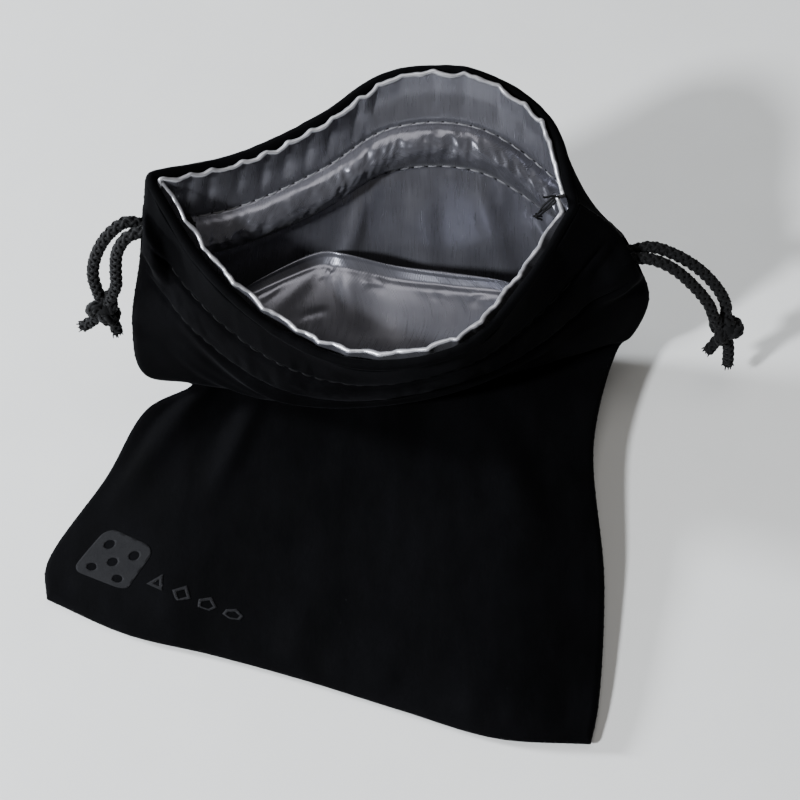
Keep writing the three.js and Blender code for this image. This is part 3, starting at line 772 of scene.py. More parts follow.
# Height, start, end and width of each fold of the lying half: a ridge, or a groove where it is negative
LOW_FOLDS = [(1.3, (17, 70), (5, 24), 4.0), (-0.7, (8, 60), (2, 30), 2.5), (0.9, (34, 76), (27, 28), 3.2),
             (-0.5, (28, 74), (21, 36), 3.0), (0.7, (96, 82), (112, 40), 5.0),
             (-0.5, (104, 84), (119, 50), 4.0)]


def velvet_low_relief(panel):
    """Folds of the lying half: soft ridges that run down from the kink, and slow waves in the cloth."""
    x, y = panel.across, panel.above_start
    if panel.side == BACK:
        return 0.0 * x
    height = 0.5 * noise(x / 24 + 3.1, y / 30, 11) + 0.16 * noise(x / 9, y / 13, 12)
    height = height + 2.6 * bell(x - 9, 8) * bell(y - 67, 9)
    for size, start, end, width in LOW_FOLDS:
        height = height + size * fold(x, y, start, end, width)
    height = height + 0.35 * noise(x / 5, y / 30, 15) * bell(y, 9)
    return height * ease(panel.edge, 0.6, 7) * ease(panel.above_start, 0.5, 6)


PULL_WIDTH = 0.65


def stitch_pull(station):
    """The pull of the two stitch rows: 1 on a row and 0 away from it."""
    low = bell((station - CHANNEL_LOW) * CHANNEL, PULL_WIDTH)
    high = bell((station - CHANNEL_HIGH) * CHANNEL, PULL_WIDTH)
    return low + high


def channel_puff(station):
    """A rounded band between the stitch rows, 0 on them and 1 in the middle."""
    share = np.clip((station - CHANNEL_LOW), 0, 1)
    return np.sin(share * math.pi) ** 0.6


SAG = 5.5
# Depth below the rim, height, width and bow of each long fold of a standing half
WALL_FOLDS = [(25.5, 0.75, 1.5, 1.0), (30.5, -0.5, 1.5, 1.3), (34.5, 0.6, 1.8, 0.6)]


def velvet_high_relief(panel):
    """Stitch grooves, the swollen channel, header ripples and long curved folds under the channel."""
    x, station, below = panel.across, panel.station, panel.below_rim
    seed = 21 if panel.side == FRONT else 31
    height = -0.55 * stitch_pull(station) + 0.75 * channel_puff(station)
    puckers = noise(x / 1.9, station * 3, seed) * np.exp(-np.abs(station - CHANNEL_MIDDLE) * 1.1)
    height = height + 0.22 * puckers * ease(station, 6.4, 7)
    height = height + 0.4 * noise(x / 7.0, station * 0.8 + 4, seed + 1) * ease(station, 8, 9)
    sag = SAG * np.sin(x / BAG_WIDTH * math.pi)
    for start, size, width, bow in WALL_FOLDS:
        wander = 1.2 * noise(x / 18, start + 0 * x, seed + 2)
        curved = bell(below - start - bow * (sag - SAG) - wander, width)
        height = height + size * curved * ease(panel.edge, 8, 30)
    height = height + 0.45 * noise(x / 16, below / 12, seed + 3)
    return height * ease(panel.edge, 0.8, 6) * ease(station, CREASE, CREASE + 0.5)


THIN_TO = 0.86
LEAST_THICK = 0.02


def velvet_sheet(side, lying):
    """One half of a velvet panel: the lying half, or the standing half."""
    stations, relief = (LOW_STATIONS, velvet_low_relief) if lying else (HIGH_STATIONS, velvet_high_relief)
    panel = Panel(side, edge_steps(COLUMN_STEP), stations)
    drop = rounded_edge(panel, lying)
    parting = between(PARTINGS, panel.station)
    outer = panel.base + panel.out * relief(panel)[..., None] - parting * (side * drop)[..., None]
    thick = np.minimum(VELVET, THIN_TO * (SEAM_HALF - drop))
    inner = outer - panel.out * thick[..., None]
    if side == BACK:
        outer[..., 2] = np.maximum(outer[..., 2], 0)
        inner[..., 2] = np.maximum(inner[..., 2], outer[..., 2] + LEAST_THICK)
    name = f"velvet_{SIDE_NAMES[side]}_{'lying' if lying else 'standing'}_half"
    piece = sheet_piece(name, outer, inner, VELVET_LOOK, flip=side == BACK)
    stands_for(f"velvet_{SIDE_NAMES[side]}_panel")
    panel.outer = outer
    return (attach(piece, "bag") if lying else flattens(piece)), panel


velvet_front_low, LOW_FRONT = velvet_sheet(FRONT, True)
velvet_back_low, _ = velvet_sheet(BACK, True)
velvet_front_high, HIGH_FRONT = velvet_sheet(FRONT, False)
velvet_back_high, HIGH_BACK = velvet_sheet(BACK, False)


# ---------------------------------------------------------------- lining
LINING_FLAT = VELVET + 2 * GAP
CHANNEL_RISE = 3.1
SATIN_TOP = 3.1
CUSPS = {
    BACK: [3, 9, 14, 21, 27.5, 33, 39, 45, 53, 59, 66, 74, 81, 90, 97, 103, 110, 117, 124],
    FRONT: [3, 12, 19, 29, 37, 46, 52, 60, 67, 77, 84, 92, 97, 106, 115, 124],
}


def scallop(across, side):
    """0 at the points where the satin edge is caught up, up to 1 where it droops between them."""
    cusps = np.array(CUSPS[side], float)
    leg = np.clip(np.searchsorted(cusps, across) - 1, 0, len(cusps) - 2)
    share = np.clip((across - cusps[leg]) / (cusps[leg + 1] - cusps[leg]), 0, 1)
    depth = np.random.default_rng(7 + side).uniform(0.45, 1.0, len(cusps))[leg]
    return np.sin(share * math.pi) ** 0.75 * depth


DEEPEST = 0.4
STATION_LENGTH = 18.0
# Start and end, as distance across and station, height and width of each fold of the back lining
BACK_WALL_FOLDS = [((58, 7.0), (44, 5.4), 1.1, 3.0), ((70, 7.0), (79, 5.3), 0.9, 4.0),
                   ((84, 7.0), (98, 5.6), 0.9, 3.2), ((38, 6.9), (30, 5.6), 0.6, 3.0),
                   ((101, 6.9), (108, 5.9), 0.8, 2.0)]


def lining_relief(panel):
    """Height of the lining towards the inside of the bag."""
    x, station = panel.across, panel.station
    seed = 41 if panel.side == FRONT else 51
    inside = channel_puff(station) * (station > CHANNEL_LOW) * (station < CHANNEL_HIGH)
    height = CHANNEL_RISE * inside
    lean = x + 2.2 * noise(x / 9, station * 2, seed + 8)
    crinkle = 0.9 * (0.55 - np.abs(noise(lean / 2.3, station * 1.6, seed)))
    crinkle = crinkle + 0.75 * (0.5 - np.abs(noise(lean / 3.9 + 1.5 * station, station * 2.6, seed + 2)))
    crinkle = crinkle + 0.35 * noise(x / 0.8 + station * 4, station * 8, seed + 1)
    streaks = noise(lean / 0.62, station * 3.1, seed + 9) + 0.6 * noise(lean / 0.38, station * 5, seed + 10)
    upper = bell(station - CHANNEL_HIGH + 0.2, 0.22) + 0.8 * bell(station - CHANNEL_LOW + 0.09, 0.1)
    broken = 0.35 + 0.65 * ease(noise(x / 5.5, station * 0 + 2.5, seed + 11), -0.4, 0.5)
    height = height + 0.15 * streaks * upper * broken
    height = height + (0.8 * crinkle * (0.35 + 0.65 * broken) + 0.2) * inside
    height = height - 0.45 * stitch_pull(station)
    puckers = noise(x / 1.7, station * 1.3, seed + 3)
    beside = np.exp(-np.abs(station - CHANNEL_LOW) * 2.6) + np.exp(-np.abs(station - CHANNEL_HIGH) * 3.5)
    height = height + 0.16 * puckers * beside * (1 - inside)
    cusps = np.array(CUSPS[panel.side], float)
    from_cusp = np.min(np.abs(x[..., None] - cusps), axis=-1)
    header = ease(station, CHANNEL_HIGH, CHANNEL_HIGH + 0.5)
    creases = 0.3 * bell(from_cusp, 1.2) * ease(station, 8.1, 8.9)
    height = height + header * (0.35 * scallop(x, panel.side) - creases - 0.1)
    height = height + 0.3 * noise(x / 11, station * 1.4, seed + 4) * header
    below = 1 - ease(station, CHANNEL_LOW - 0.3, CHANNEL_LOW)
    waves = 0.7 * noise(x / 17, station * 1.2, seed + 5) + 0.3 * noise(x / 7, station * 2, seed + 6)
    height = height + below * waves
    if panel.side == BACK:
        to_mm = np.array([1, STATION_LENGTH])
        for start, end, size, width in BACK_WALL_FOLDS:
            ends = np.array(start) * to_mm, np.array(end) * to_mm
            ridge = fold(x, station * STATION_LENGTH, *ends, width, 0.3)
            height = height + below * size * ridge
    return np.where(height < 0, DEEPEST * np.tanh(height / DEEPEST), height)


def edge_droop(across, side):
    """How far the satin edge hangs below the rim between the points where it is caught up."""
    return 0.95 * scallop(across, side) + 0.12 * noise(across / 1.2, across * 0, 73)


PIPING_SWAY = {FRONT: (1.25, 0.45), BACK: (0.5, 1.0)}
PIPING_LIFT = {FRONT: 1.5, BACK: 0.85}


def piping_line(panel):
    """The line that the satin edge follows at the top of a panel."""
    fall = edge_droop(panel.across[:, -1], panel.side)
    up = unit(panel.base[:, -1] - panel.base[:, -2])
    inward, drop = PIPING_SWAY[panel.side]
    depth = SATIN_TOP - 0.1 + inward * fall
    rise = PIPING_LIFT[panel.side] - drop * fall
    return panel.base[:, -1] - panel.out[:, -1] * depth[:, None] + up * rise[:, None]


def lining_margin(station, side):
    """Distance from the side seams, in millimetres, at which the lining begins."""
    if side == BACK:
        return 2.0 + 0 * station
    header = ease(station, CHANNEL_HIGH, CHANNEL_HIGH + 0.3)
    channel = ease(station, CHANNEL_LOW - 0.4, CHANNEL_LOW)
    return 4.0 + 1.5 * channel * (1 - header) - 2.0 * header


LINING_STEP = 0.7
LINING_COLUMNS = 210


def lining_surface(side, stations):
    """The lining's visible face, the directions off it and the distances across it, on its own columns."""
    panel = Panel(side, edge_steps(LINING_STEP), stations)
    depth = LINING_FLAT + LINING - 0 * panel.across
    rise = lining_relief(panel) * ease(panel.edge, -1, 6)
    top_gain = (SATIN_TOP - LINING_FLAT - LINING) * ease(panel.station, CHANNEL_HIGH + 0.55, RIM)
    face = panel.at(depth + rise + top_gain)
    edge_line = piping_line(panel)
    joins = ease(panel.station, CHANNEL_HIGH + 0.3, stations[-1])[..., None] ** 2.2
    if stations[-1] > CHANNEL_HIGH:
        face = face * (1 - joins) + edge_line[:, None] * joins
    margin = lining_margin(stations, side) / BAG_WIDTH
    a = np.linspace(0, 1, LINING_COLUMNS)
    wanted = margin[None, :] + a[:, None] * (1 - 2 * margin[None, :])
    face = across_rows(face, panel.u, wanted)
    out = unit(across_rows(panel.out, panel.u, wanted))
    return face, out, wanted * BAG_WIDTH


def across_rows(grid, u, wanted):
    """A grid read again at other shares across, row by row."""
    return np.stack([read_at(wanted[:, j], u, grid[:, j]) for j in range(grid.shape[1])], axis=1)


def set_cloth_map(piece, across, along):
    """A UV map in metres over the cloth, one place for each vertex, so that the weave follows it."""
    uv = np.stack(np.broadcast_arrays(across, along), axis=-1).reshape(-1, 2) * MM
    uv = np.concatenate([uv] * (len(piece.data.vertices) // len(uv)))
    layer = piece.data.uv_layers.new(name="cloth")
    corners = np.zeros(len(piece.data.loops), np.int32)
    piece.data.loops.foreach_get("vertex_index", corners)
    layer.data.foreach_set("uv", uv[corners].astype(np.float32).ravel())


LINING_HIGH = station_steps([(4.05, 0), (5, 14), (6, 20), (7, 26), (8, 46), (9, 36)])
LINING_LOW = station_steps([(0.9, 0), (2, 16), (3, 12), (4.05, 14)])
# Of each standing lining: its grid, the directions off it, the distances across it and its stitch rows
LINING_ROWS = {}


def row_of(stations, station):
    """The row of a grid that is nearest to a station."""
    return int(np.argmin(np.abs(stations - station)))


def lining_sheet(side, lying, face, out):
    name = f"lining_{SIDE_NAMES[side]}_{'lying' if lying else 'standing'}_half"
    piece = sheet_piece(name, face + out * LINING, face, SATIN_LOOK, flip=side == BACK)
    set_cloth_map(piece, lengths(np.swapaxes(face, 0, 1)).T, lengths(face))
    stands_for(f"lining_{SIDE_NAMES[side]}_panel")
    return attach(piece, "bag") if lying else flattens(piece)


# The front lining is longer than the wall it hangs on. Its spare length stands as a fold in the mouth.
FOLD_RIDGE = [(-47, 55.9, 21.6), (-40, 57.2, 30.8), (-33, 59, 36.9), (-17, 66.6, 38.9), (-12, 65.8, 39.1),
              (-1.4, 64.7, 36.5), (11, 62.6, 36.2), (24, 60.4, 36), (34, 59.5, 30), (40, 59, 22)]


# How far from the foot to the ridge, and how much higher, the fold's near face passes
FOLD_FACE = [(0.0, 0.0), (0.06, -2.0), (0.28, 0.0), (0.55, 0.8), (0.8, 0.3), (0.91, -0.5), (0.97, -0.2),
             (1.0, 0.3)]
FOLD_ROWS = 150
UP = np.array([0, 0, 1.0])
CHANNEL_ROWS, HEADER_ROWS, FOOT_ROWS = 46, 36, 5


def front_fold():
    """Grid of the front lining from the rim down the wall, over the fold and down to the heel."""
    stations = station_steps([(6.75, 0), (CHANNEL_LOW, FOOT_ROWS), (CHANNEL_HIGH, CHANNEL_ROWS),
                              (RIM, HEADER_ROWS)])
    wall, _, across = lining_surface(FRONT, stations)
    heel, _, _ = lining_surface(FRONT, np.array([4.1, 4.4]))
    ridge = spline(FOLD_RIDGE, np.linspace(0, 1, LINING_COLUMNS))
    foot = wall[:, 0]
    points = [foot * (1 - reach) + ridge * reach + UP * lift for reach, lift in FOLD_FACE]
    back = ridge + np.array([0.0, 1.2, -2.2])
    deep = ridge * 0.55 + heel[:, 1] * 0.45 + np.array([0, 1.5, 0])
    points += [back, deep, heel[:, 1] + UP, heel[:, 0]]
    curve = spline(np.stack(points, axis=1), np.linspace(0, 1, FOLD_ROWS))[:, 1:]
    return np.concatenate([curve[:, ::-1], wall], axis=1), across


FOLD_GRID, FOLD_ACROSS = front_fold()
RIDGE_WINDOW = 7
WALL_ROWS = 90


def ridge_places(grid, along):
    """Distance along each column of the fold to its highest point, evened out across the columns."""
    column = np.arange(grid.shape[0])
    top = np.argmax(grid[:, :-WALL_ROWS, 2], axis=1)
    below, peak, above = (grid[column, top + step, 2] for step in (-1, 0, 1))
    part = 0.5 * (below - above) / (below - 2 * peak + above)
    at_top = along[column, top] + part * (along[column, top + 1] - along[column, top])
    window = np.ones(RIDGE_WINDOW) / RIDGE_WINDOW
    return np.convolve(np.pad(at_top, RIDGE_WINDOW // 2, mode="edge"), window, mode="valid")


def fold_relief(grid):
    """Soft dents and creases over the fold of the front lining."""
    x = np.broadcast_to(FOLD_ACROSS[:, :1], grid.shape[:2])
    along = lengths(grid)
    from_ridge = along - ridge_places(grid, along)[:, None]
    height = 0.28 * noise(x / 14, from_ridge / 11, 61) + 0.07 * noise(x / 5, from_ridge / 6, 62)
    front = ease(from_ridge, 0.5, 3) * (1 - ease(from_ridge, 22, 30))
    height = height + front * 0.3 * fold(x, from_ridge, (46, 2), (31, 15), 2.6)
    height = height - front * 0.22 * fold(x, from_ridge, (40, 15.5), (53, 13), 0.8, 0.45)
    height = height + front * 0.3 * fold(x, from_ridge, (55, 2), (62, 18), 3.0)
    height = height - 0.08 * bell(from_ridge - 2.9, 0.9) + 0.12 * bell(from_ridge - 4.4, 1.2)
    lean = x + 1.6 * noise(x / 6, from_ridge / 5, 65)
    crumple = noise(lean / 1.3, from_ridge / 1.1 + x / 7, 63) + noise(lean / 3.1, from_ridge / 1.7, 64)
    broken = ease(noise(x / 5, 0 * x, 66), -0.6, 0.4)
    height = height + 0.12 * crumple * bell(from_ridge - 4.8, 1.9) * broken
    height = height + 0.06 * crumple * bell(x - 42, 7) * bell(from_ridge - 16, 2.5)
    return height * (1 - ease(from_ridge, 26, 30))


def front_standing_lining():
    out = normals(FOLD_GRID)
    if np.mean(out[:, -20:, 1]) > 0:
        out = -out
    edge = ease(FOLD_ACROSS[:, :1], 6, 16) * ease(BAG_WIDTH - FOLD_ACROSS[:, :1], 6, 16)
    grid = FOLD_GRID - out * (fold_relief(FOLD_GRID) * edge)[..., None]
    low = grid.shape[1] - FOLD_ACROSS.shape[1] + FOOT_ROWS
    LINING_ROWS[FRONT] = grid, out, FOLD_ACROSS, {CHANNEL_LOW: low, CHANNEL_HIGH: low + CHANNEL_ROWS}
    return lining_sheet(FRONT, False, grid, out)


def back_standing_lining():
    face, out, across = lining_surface(BACK, LINING_HIGH)
    rows = {station: row_of(LINING_HIGH, station) for station in (CHANNEL_LOW, CHANNEL_HIGH)}
    LINING_ROWS[BACK] = face, out, across, rows
    return lining_sheet(BACK, False, face, out)


lining_front_high = front_standing_lining()
lining_back_high = back_standing_lining()
lining_front_low, lining_back_low = (
    lining_sheet(side, True, *lining_surface(side, LINING_LOW)[:2]) for side in (FRONT, BACK))


# Each half panel as cut: the lying half is the lower 79 mm of the bag, the standing half the upper 76 mm.
# Of the front panel's standing half, 20 mm is tucked in under the crease, out of sight, and isn't
# modelled. The lining is cut a little narrower, and its lying half starts above the bottom seam.
LYING_CUT = 0.079
STANDING_CUT = 0.076
FRONT_STANDING_CUT = 0.056
VELVET_CUT_WIDTH = BAG_WIDTH * MM
LINING_CUT_WIDTH = 0.120
LINING_LYING_CUT = 0.064
VELVET_LYING = (VELVET_CUT_WIDTH, LYING_CUT)
LINING_LYING = (LINING_CUT_WIDTH, LINING_LYING_CUT)
LINING_STANDING = (LINING_CUT_WIDTH, STANDING_CUT)
for cloth, cut, hold, under in (
    (velvet_front_low, VELVET_LYING, "laid", [velvet_back_low]),
    (velvet_back_low, VELVET_LYING, "laid", []),
    (velvet_front_high, (VELVET_CUT_WIDTH, FRONT_STANDING_CUT), "gathered", [velvet_front_low]),
    (velvet_back_high, (VELVET_CUT_WIDTH, STANDING_CUT), "gathered", [velvet_back_low]),
    (lining_front_high, LINING_STANDING, "folded", [velvet_front_high]),
    (lining_back_high, LINING_STANDING, "gathered", [velvet_back_high]),
    (lining_front_low, LINING_LYING, "laid", [lining_back_low]),
    (lining_back_low, LINING_LYING, "laid", [velvet_back_low]),
):
    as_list(under)


# ---------------------------------------------------------------- rim: velvet roll and satin edge
RIM_FOLD = 2.3
SATIN_EDGE = 1.0


def rim_rows(line_of, reach, step=0.5, pleats=None):
    """A closed loop round the rim, front panel from left to right and then back panel from right to left."""
    points = []
    for side in (FRONT, BACK):
        u = np.linspace(reach, 1 - reach, int(BAG_WIDTH / step))
        line = line_of(Panel(side, u, np.array([8.7, 8.85, 9.0])))
        points.append(line if side == FRONT else line[::-1])
    if pleats:
        points = [points[0], pleats[1][None], points[1], pleats[0][None]]
    return np.concatenate(points)


def roll_line(panel):
    up = unit(panel.base[:, 2] - panel.base[:, 0])
    return panel.base[:, 2] - panel.out[:, 2] * (RIM_FOLD / 2 - 0.1) + up * 0.55


def smooth_closed(points, count, passes):
    """A closed loop resampled to count points and smoothed."""
    closed = np.concatenate([points, points[:1]])
    even = resample(closed, count + 1)[:-1]
    for _ in range(passes):
        even = (np.roll(even, 1, 0) + 2 * even + np.roll(even, -1, 0)) / 4
    return even


def velvet_roll():
    path = smooth_closed(rim_rows(roll_line, 0.006), 620, 6)
    along = lengths(path)
    slow, quick = noise(along / 6, along * 0, 71), noise(along / 2, along * 0, 72)
    radius = RIM_FOLD / 2 * (1 + 0.1 * slow + 0.05 * quick)
    points, faces = tube_mesh(path, radius, 14, closed=True)
    piece = mesh_piece("velvet_rim_roll", points, faces, VELVET_LOOK)
    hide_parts("velvet_rim_fold")
    return flattens(piece)


PLEATS = (SEAMS["left"][RIM] + INTO_BAG * 2.8 - np.array([0, 1.0, 5.2]),
          SEAMS["right"][RIM] - INTO_BAG * 5.0 + np.array([0, 1.0, 1.6]))


def satin_edge_painted_highlight():
    path = smooth_closed(rim_rows(piping_line, 0.016, 0.35, PLEATS), 1100, 2)
    along = lengths(path)
    radius = SATIN_EDGE / 2 * (1 + 0.16 * noise(along / 1.7, along * 0, 74))
    points, faces = tube_mesh(path, radius, 12, closed=True)
    # The piping's light satin colour is a painted highlight along the rim.
    piece = mesh_piece("satin_rim_piping", points, faces, SATIN_EDGE_PAINTED_HIGHLIGHT_LOOK)
    add_tube_map(piece, path, 12)
    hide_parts("satin_rim_edge")
    return flattens(piece)


def add_tube_map(piece, path, sides):
    """A UV map in metres along a tube."""
    along = lengths(path)
    radius = SATIN_EDGE / 2
    around = np.arange(sides) / sides * 2 * math.pi * radius
    uv = np.stack(np.broadcast_arrays(around[None, :], along[:, None]), axis=-1).reshape(-1, 2) * MM
    layer = piece.data.uv_layers.new(name="cloth")
    corners = np.zeros(len(piece.data.loops), np.int32)
    piece.data.loops.foreach_get("vertex_index", corners)
    layer.data.foreach_set("uv", uv[corners].astype(np.float32).ravel())


velvet_roll()
satin_edge_painted_highlight()


# ---------------------------------------------------------------- stitches and seams
def thread_dash(foot, head, out_a, out_b, lift, radius, sink=0.25, sides=6):
    """One visible stitch: a short thread that leaves the cloth at foot and goes back in at head."""
    t = np.linspace(0, 1, 9)
    base = foot + (head - foot) * t[:, None]
    out = unit(out_a + (out_b - out_a) * t[:, None])
    height = lift * np.sin(t * math.pi) ** 0.5 - sink * (1 - np.sin(t * math.pi) ** 0.35)
    return tube_mesh(base + out * height[:, None], radius, sides)


def row_reader(row, out, places):
    """Reads a row of cloth points, and the direction off the cloth, at a distance in millimetres."""
    def read(at):
        spot = np.array([np.interp(at, places, row[:, k]) for k in range(3)])
        away = unit(np.array([np.interp(at, places, out[:, k]) for k in range(3)]))
        return spot, away
    return read


STITCH_PITCH = 3.4


def stitch_row(name, node, read, start, end, seed, thread, look, hole=True):
    """Thread dashes along a row, with a near-black plug between each two: painted shade in the needle hole.
    """
    jitter = np.random.default_rng(seed)
    dashes, holes = [], []
    at = start
    while at < end - STITCH_PITCH:
        first = at + 0.3 + jitter.uniform(-0.08, 0.1)
        last = at + STITCH_PITCH - 0.38 + jitter.uniform(-0.3, 0.08)
        (p, a), (q, b) = read(first), read(last)
        dashes.append(thread_dash(p, q, a, b, thread * 1.25, thread))
        if hole:
            spot, away = read(at)
            # A short near-black plug sunk in the hole stands in for the shade inside it: painted shade.
            depth = spot + away * np.array([0.06, -0.6])[:, None]
            holes.append(tube_mesh(depth, [0.3, 0.22], 9))
        at += STITCH_PITCH
    piece = mesh_piece(name, *join_parts(dashes), look)
    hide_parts(node)
    flattens(piece)
    if hole:
        hole_shade = mesh_piece(name + "_needle_hole_shade", *join_parts(holes), HOLE_SHADE_LOOK)
        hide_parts(node)
        flattens(hole_shade)


def channel_stitching():
    for side, (grid, out, across, rows) in LINING_ROWS.items():
        for station, level in ((CHANNEL_LOW, "lower"), (CHANNEL_HIGH, "upper")):
            node = f"channel_stitch_{level}_{SIDE_NAMES[side]}"
            j = rows[station]
            read = row_reader(grid[:, j], -out[:, j], across[:, min(j, across.shape[1] - 1)])
            stitch_row(node + "_inside", node, read, 12.0, BAG_WIDTH - 12, 80 + station + side, 0.2,
                       GREY_THREAD_LOOK)
            panel = HIGH_FRONT if side == FRONT else HIGH_BACK
            k = int(np.argmin(np.abs(panel.stations - station)))
            read = row_reader(panel.outer[:, k], panel.out[:, k], panel.across[:, k])
            stitch_row(node + "_outside", node, read, 10.3, BAG_WIDTH - 10, 90 + station + side, 0.17,
                       THREAD_LOOK, hole=False)


channel_stitching()


def side_seam(end, low, high, name, node, upper):
    stations = np.linspace(low, high, 400)
    line = spline(SEAMS[end], stations / RIM)
    part = between(PARTINGS, stations)
    sign = 1 if end == "left" else -1
    ahead = np.gradient(line, axis=0)
    into = unit(np.cross(part, ahead)) * 1.0
    if np.mean(into[:, 0]) * sign < 0:
        into = -into
    along = lengths(line)
    places = np.arange(0.8, along[-1], 2.3)
    picks = [np.stack([np.interp(places, along, field[:, k]) for k in range(3)], axis=-1)
             for field in (line, part, into)]
    return ladder_piece(name, node, picks, upper)


def ladder_piece(name, node, picks, upper):
    parts = []
    for k, (spot, over, into) in enumerate(zip(*picks)):
        over, into = unit(over), unit(into)
        slant = unit(np.cross(over, into)) * (0.4 if k % 2 else -0.4)
        a, b = spot + over * 1.0 + into * 0.95, spot - over * 1.0 + into * 0.95
        top = spot + into * 0.05
        route = np.array([a, (a + top) / 2 - into * 0.22, top + slant * 0.5,
                          (b + top) / 2 - into * 0.22 + slant,
                          b + slant])
        parts.append(tube_mesh(spline(route, np.linspace(0, 1, 11)), 0.17, 6))
    piece = mesh_piece(name, *join_parts(parts), THREAD_LOOK)
    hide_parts(node)
    return flattens(piece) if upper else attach(piece, "bag")


for seam_end in ("left", "right"):
    top_of_seam = (RIGHT_EXIT if seam_end == "right" else LEFT_EXIT) - 0.42
    side_seam(seam_end, 0.1, 4, f"side_seam_{seam_end}_lying_stitches", f"side_seam_{seam_end}", False)
    side_seam(seam_end, 4, top_of_seam, f"side_seam_{seam_end}_standing_stitches",
              f"side_seam_{seam_end}", True)
    side_seam(seam_end, max(8.25, top_of_seam + 0.85), 8.9, f"header_seam_{seam_end}_stitches",
              f"header_seam_{seam_end}", True)


def bottom_seam():
    share = np.linspace(0.01, 0.99, 500)
    line = spline(np.array([SEAMS["left"][0], *BOTTOM, SEAMS["right"][0]]), share)
    part = np.broadcast_to(PARTINGS[0], line.shape)
    ahead = np.gradient(line, axis=0)
    into = unit(np.cross(part, ahead))
    into = into if np.mean(into[:, 1]) > 0 else -into
    along = lengths(line)
    places = np.arange(1, along[-1], 2.3)
    picks = [np.stack([np.interp(places, along, field[:, k]) for k in range(3)], axis=-1)
             for field in (line, part, into)]
    return ladder_piece("bottom_seam_stitches", "bottom_seam", picks, False)


bottom_seam()


THREAD_TAILS = [
    [(0.2, 0, 0.4), (-2.0, -0.5, -2.4), (-4.2, -0.9, -4.9)],
    [(-0.3, 0.3, 0), (-2.5, -0.2, -2.0), (-4.4, -1.4, -5.2)],
    [(0.4, -0.3, 0.2), (-1.7, -0.9, -2.6), (-3.6, -0.8, -5.1)],
    [(-3.2, -0.8, 0.9), (-1.2, -0.3, 0.6), (0.4, 0, 0.2)],
    [(0.3, 0, -0.2), (1.4, -0.5, -2.8), (2.7, -1.0, -5.0)],
    [(-0.6, -2.0, -4.8), (1.2, -2.6, -6.0), (2.8, -3.0, -7.6)],
    [(-4.9, -1.0, -5.2), (-4.1, -1.2, -4.8), (-3.0, -0.8, -5.6)],
    [(-4.4, -0.9, -4.4), (-3.9, -1.3, -5.4), (-2.9, -1.4, -6.0)],
]


def thread_tails():
    """Loose ends of the seam thread at the right corner of the mouth."""
    parts = []
    for k, tail in enumerate(THREAD_TAILS):
        path = spline(PLEATS[1] + np.array(tail), np.linspace(0, 1, 24))
        wobble = 0.1 * np.sin(np.linspace(0, 9, 24) + k)[:, None] * np.array([0.4, 1, 0.3])
        parts.append(tube_mesh(path + wobble, np.linspace(0.27, 0.2, 24), 7))
    piece = mesh_piece("header_seam_right_thread_tails", *join_parts(parts), THREAD_LOOK)
    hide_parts("header_seam_right")
    flattens(piece)


thread_tails()


# ---------------------------------------------------------------- printed mark
PRINT_FROM_SEAM, PRINT_FROM_BOTTOM, PRINT_TURN = 14.0, 15.0, -0.2
DIE_FACE, PIP, SHAPE_SIZE, SHAPE_PITCH, BAR = 13.0, 2.2, 5.0, 6.6, 1.0
PRINT_THICK = 0.09


def on_front(points):
    """Flat points of the mark laid on the lying half: their places on the cloth and the directions off it."""
    x, y = np.array(points, float).T
    across = PRINT_FROM_SEAM + x * math.cos(PRINT_TURN) - y * math.sin(PRINT_TURN)
    up = PRINT_FROM_BOTTOM + x * math.sin(PRINT_TURN) + y * math.cos(PRINT_TURN)
    u, station = across / BAG_WIDTH, 1 + (up - 10) / 26
    grid, out = LOW_FRONT.outer, normals(LOW_FRONT.outer)
    i = np.clip(np.searchsorted(LOW_FRONT.u, u) - 1, 0, len(LOW_FRONT.u) - 2)
    j = np.clip(np.searchsorted(LOW_FRONT.stations, station) - 1, 0, len(LOW_FRONT.stations) - 2)
    a = ((u - LOW_FRONT.u[i]) / (LOW_FRONT.u[i + 1] - LOW_FRONT.u[i]))[:, None]
    b = ((station - LOW_FRONT.stations[j]) / (LOW_FRONT.stations[j + 1] - LOW_FRONT.stations[j]))[:, None]

    def read(field):
        low = field[i, j] * (1 - a) + field[i + 1, j] * a
        high = field[i, j + 1] * (1 - a) + field[i + 1, j + 1] * a
        return low * (1 - b) + high * b

    return read(grid), unit(read(out))


def polygon(x, y, radius, sides, turn=math.pi / 2):
    angle = turn + np.arange(sides) / sides * 2 * math.pi
    return np.stack([x + radius * np.cos(angle), y + radius * np.sin(angle)], axis=-1)


def rounded_square(half, corner):
    centres = [(half - corner, half - corner, 0), (-half + corner, half - corner, 1),
               (-half + corner, -half + corner, 2), (half - corner, -half + corner, 3)]
    angle = np.linspace(0, math.pi / 2, 8)
    return np.concatenate([np.stack([x + corner * np.cos(angle + q * math.pi / 2),
                                     y + corner * np.sin(angle + q * math.pi / 2)], axis=-1)
                           for x, y, q in centres])


def dense(loop, step=0.35):
    closed = np.concatenate([loop, loop[:1]])
    legs = []
    for a, b in zip(closed[:-1], closed[1:]):
        n = max(1, int(round(np.linalg.norm(b - a) / step)))
        legs.append(a + (b - a) * np.linspace(0, 1, n, endpoint=False)[:, None])
    return np.concatenate(legs)


def inside_loops(points, loops):
    """Even-odd test of points against closed loops."""
    inside = np.zeros(len(points), bool)
    for loop in loops:
        for (x0, y0), (x1, y1) in zip(loop, np.roll(loop, -1, 0)):
            crosses = (y0 > points[:, 1]) != (y1 > points[:, 1])
            at = x0 + (points[:, 1] - y0) / (y1 - y0 if y1 != y0 else 1e-9) * (x1 - x0)
            inside ^= crosses & (points[:, 0] < at)
    return inside


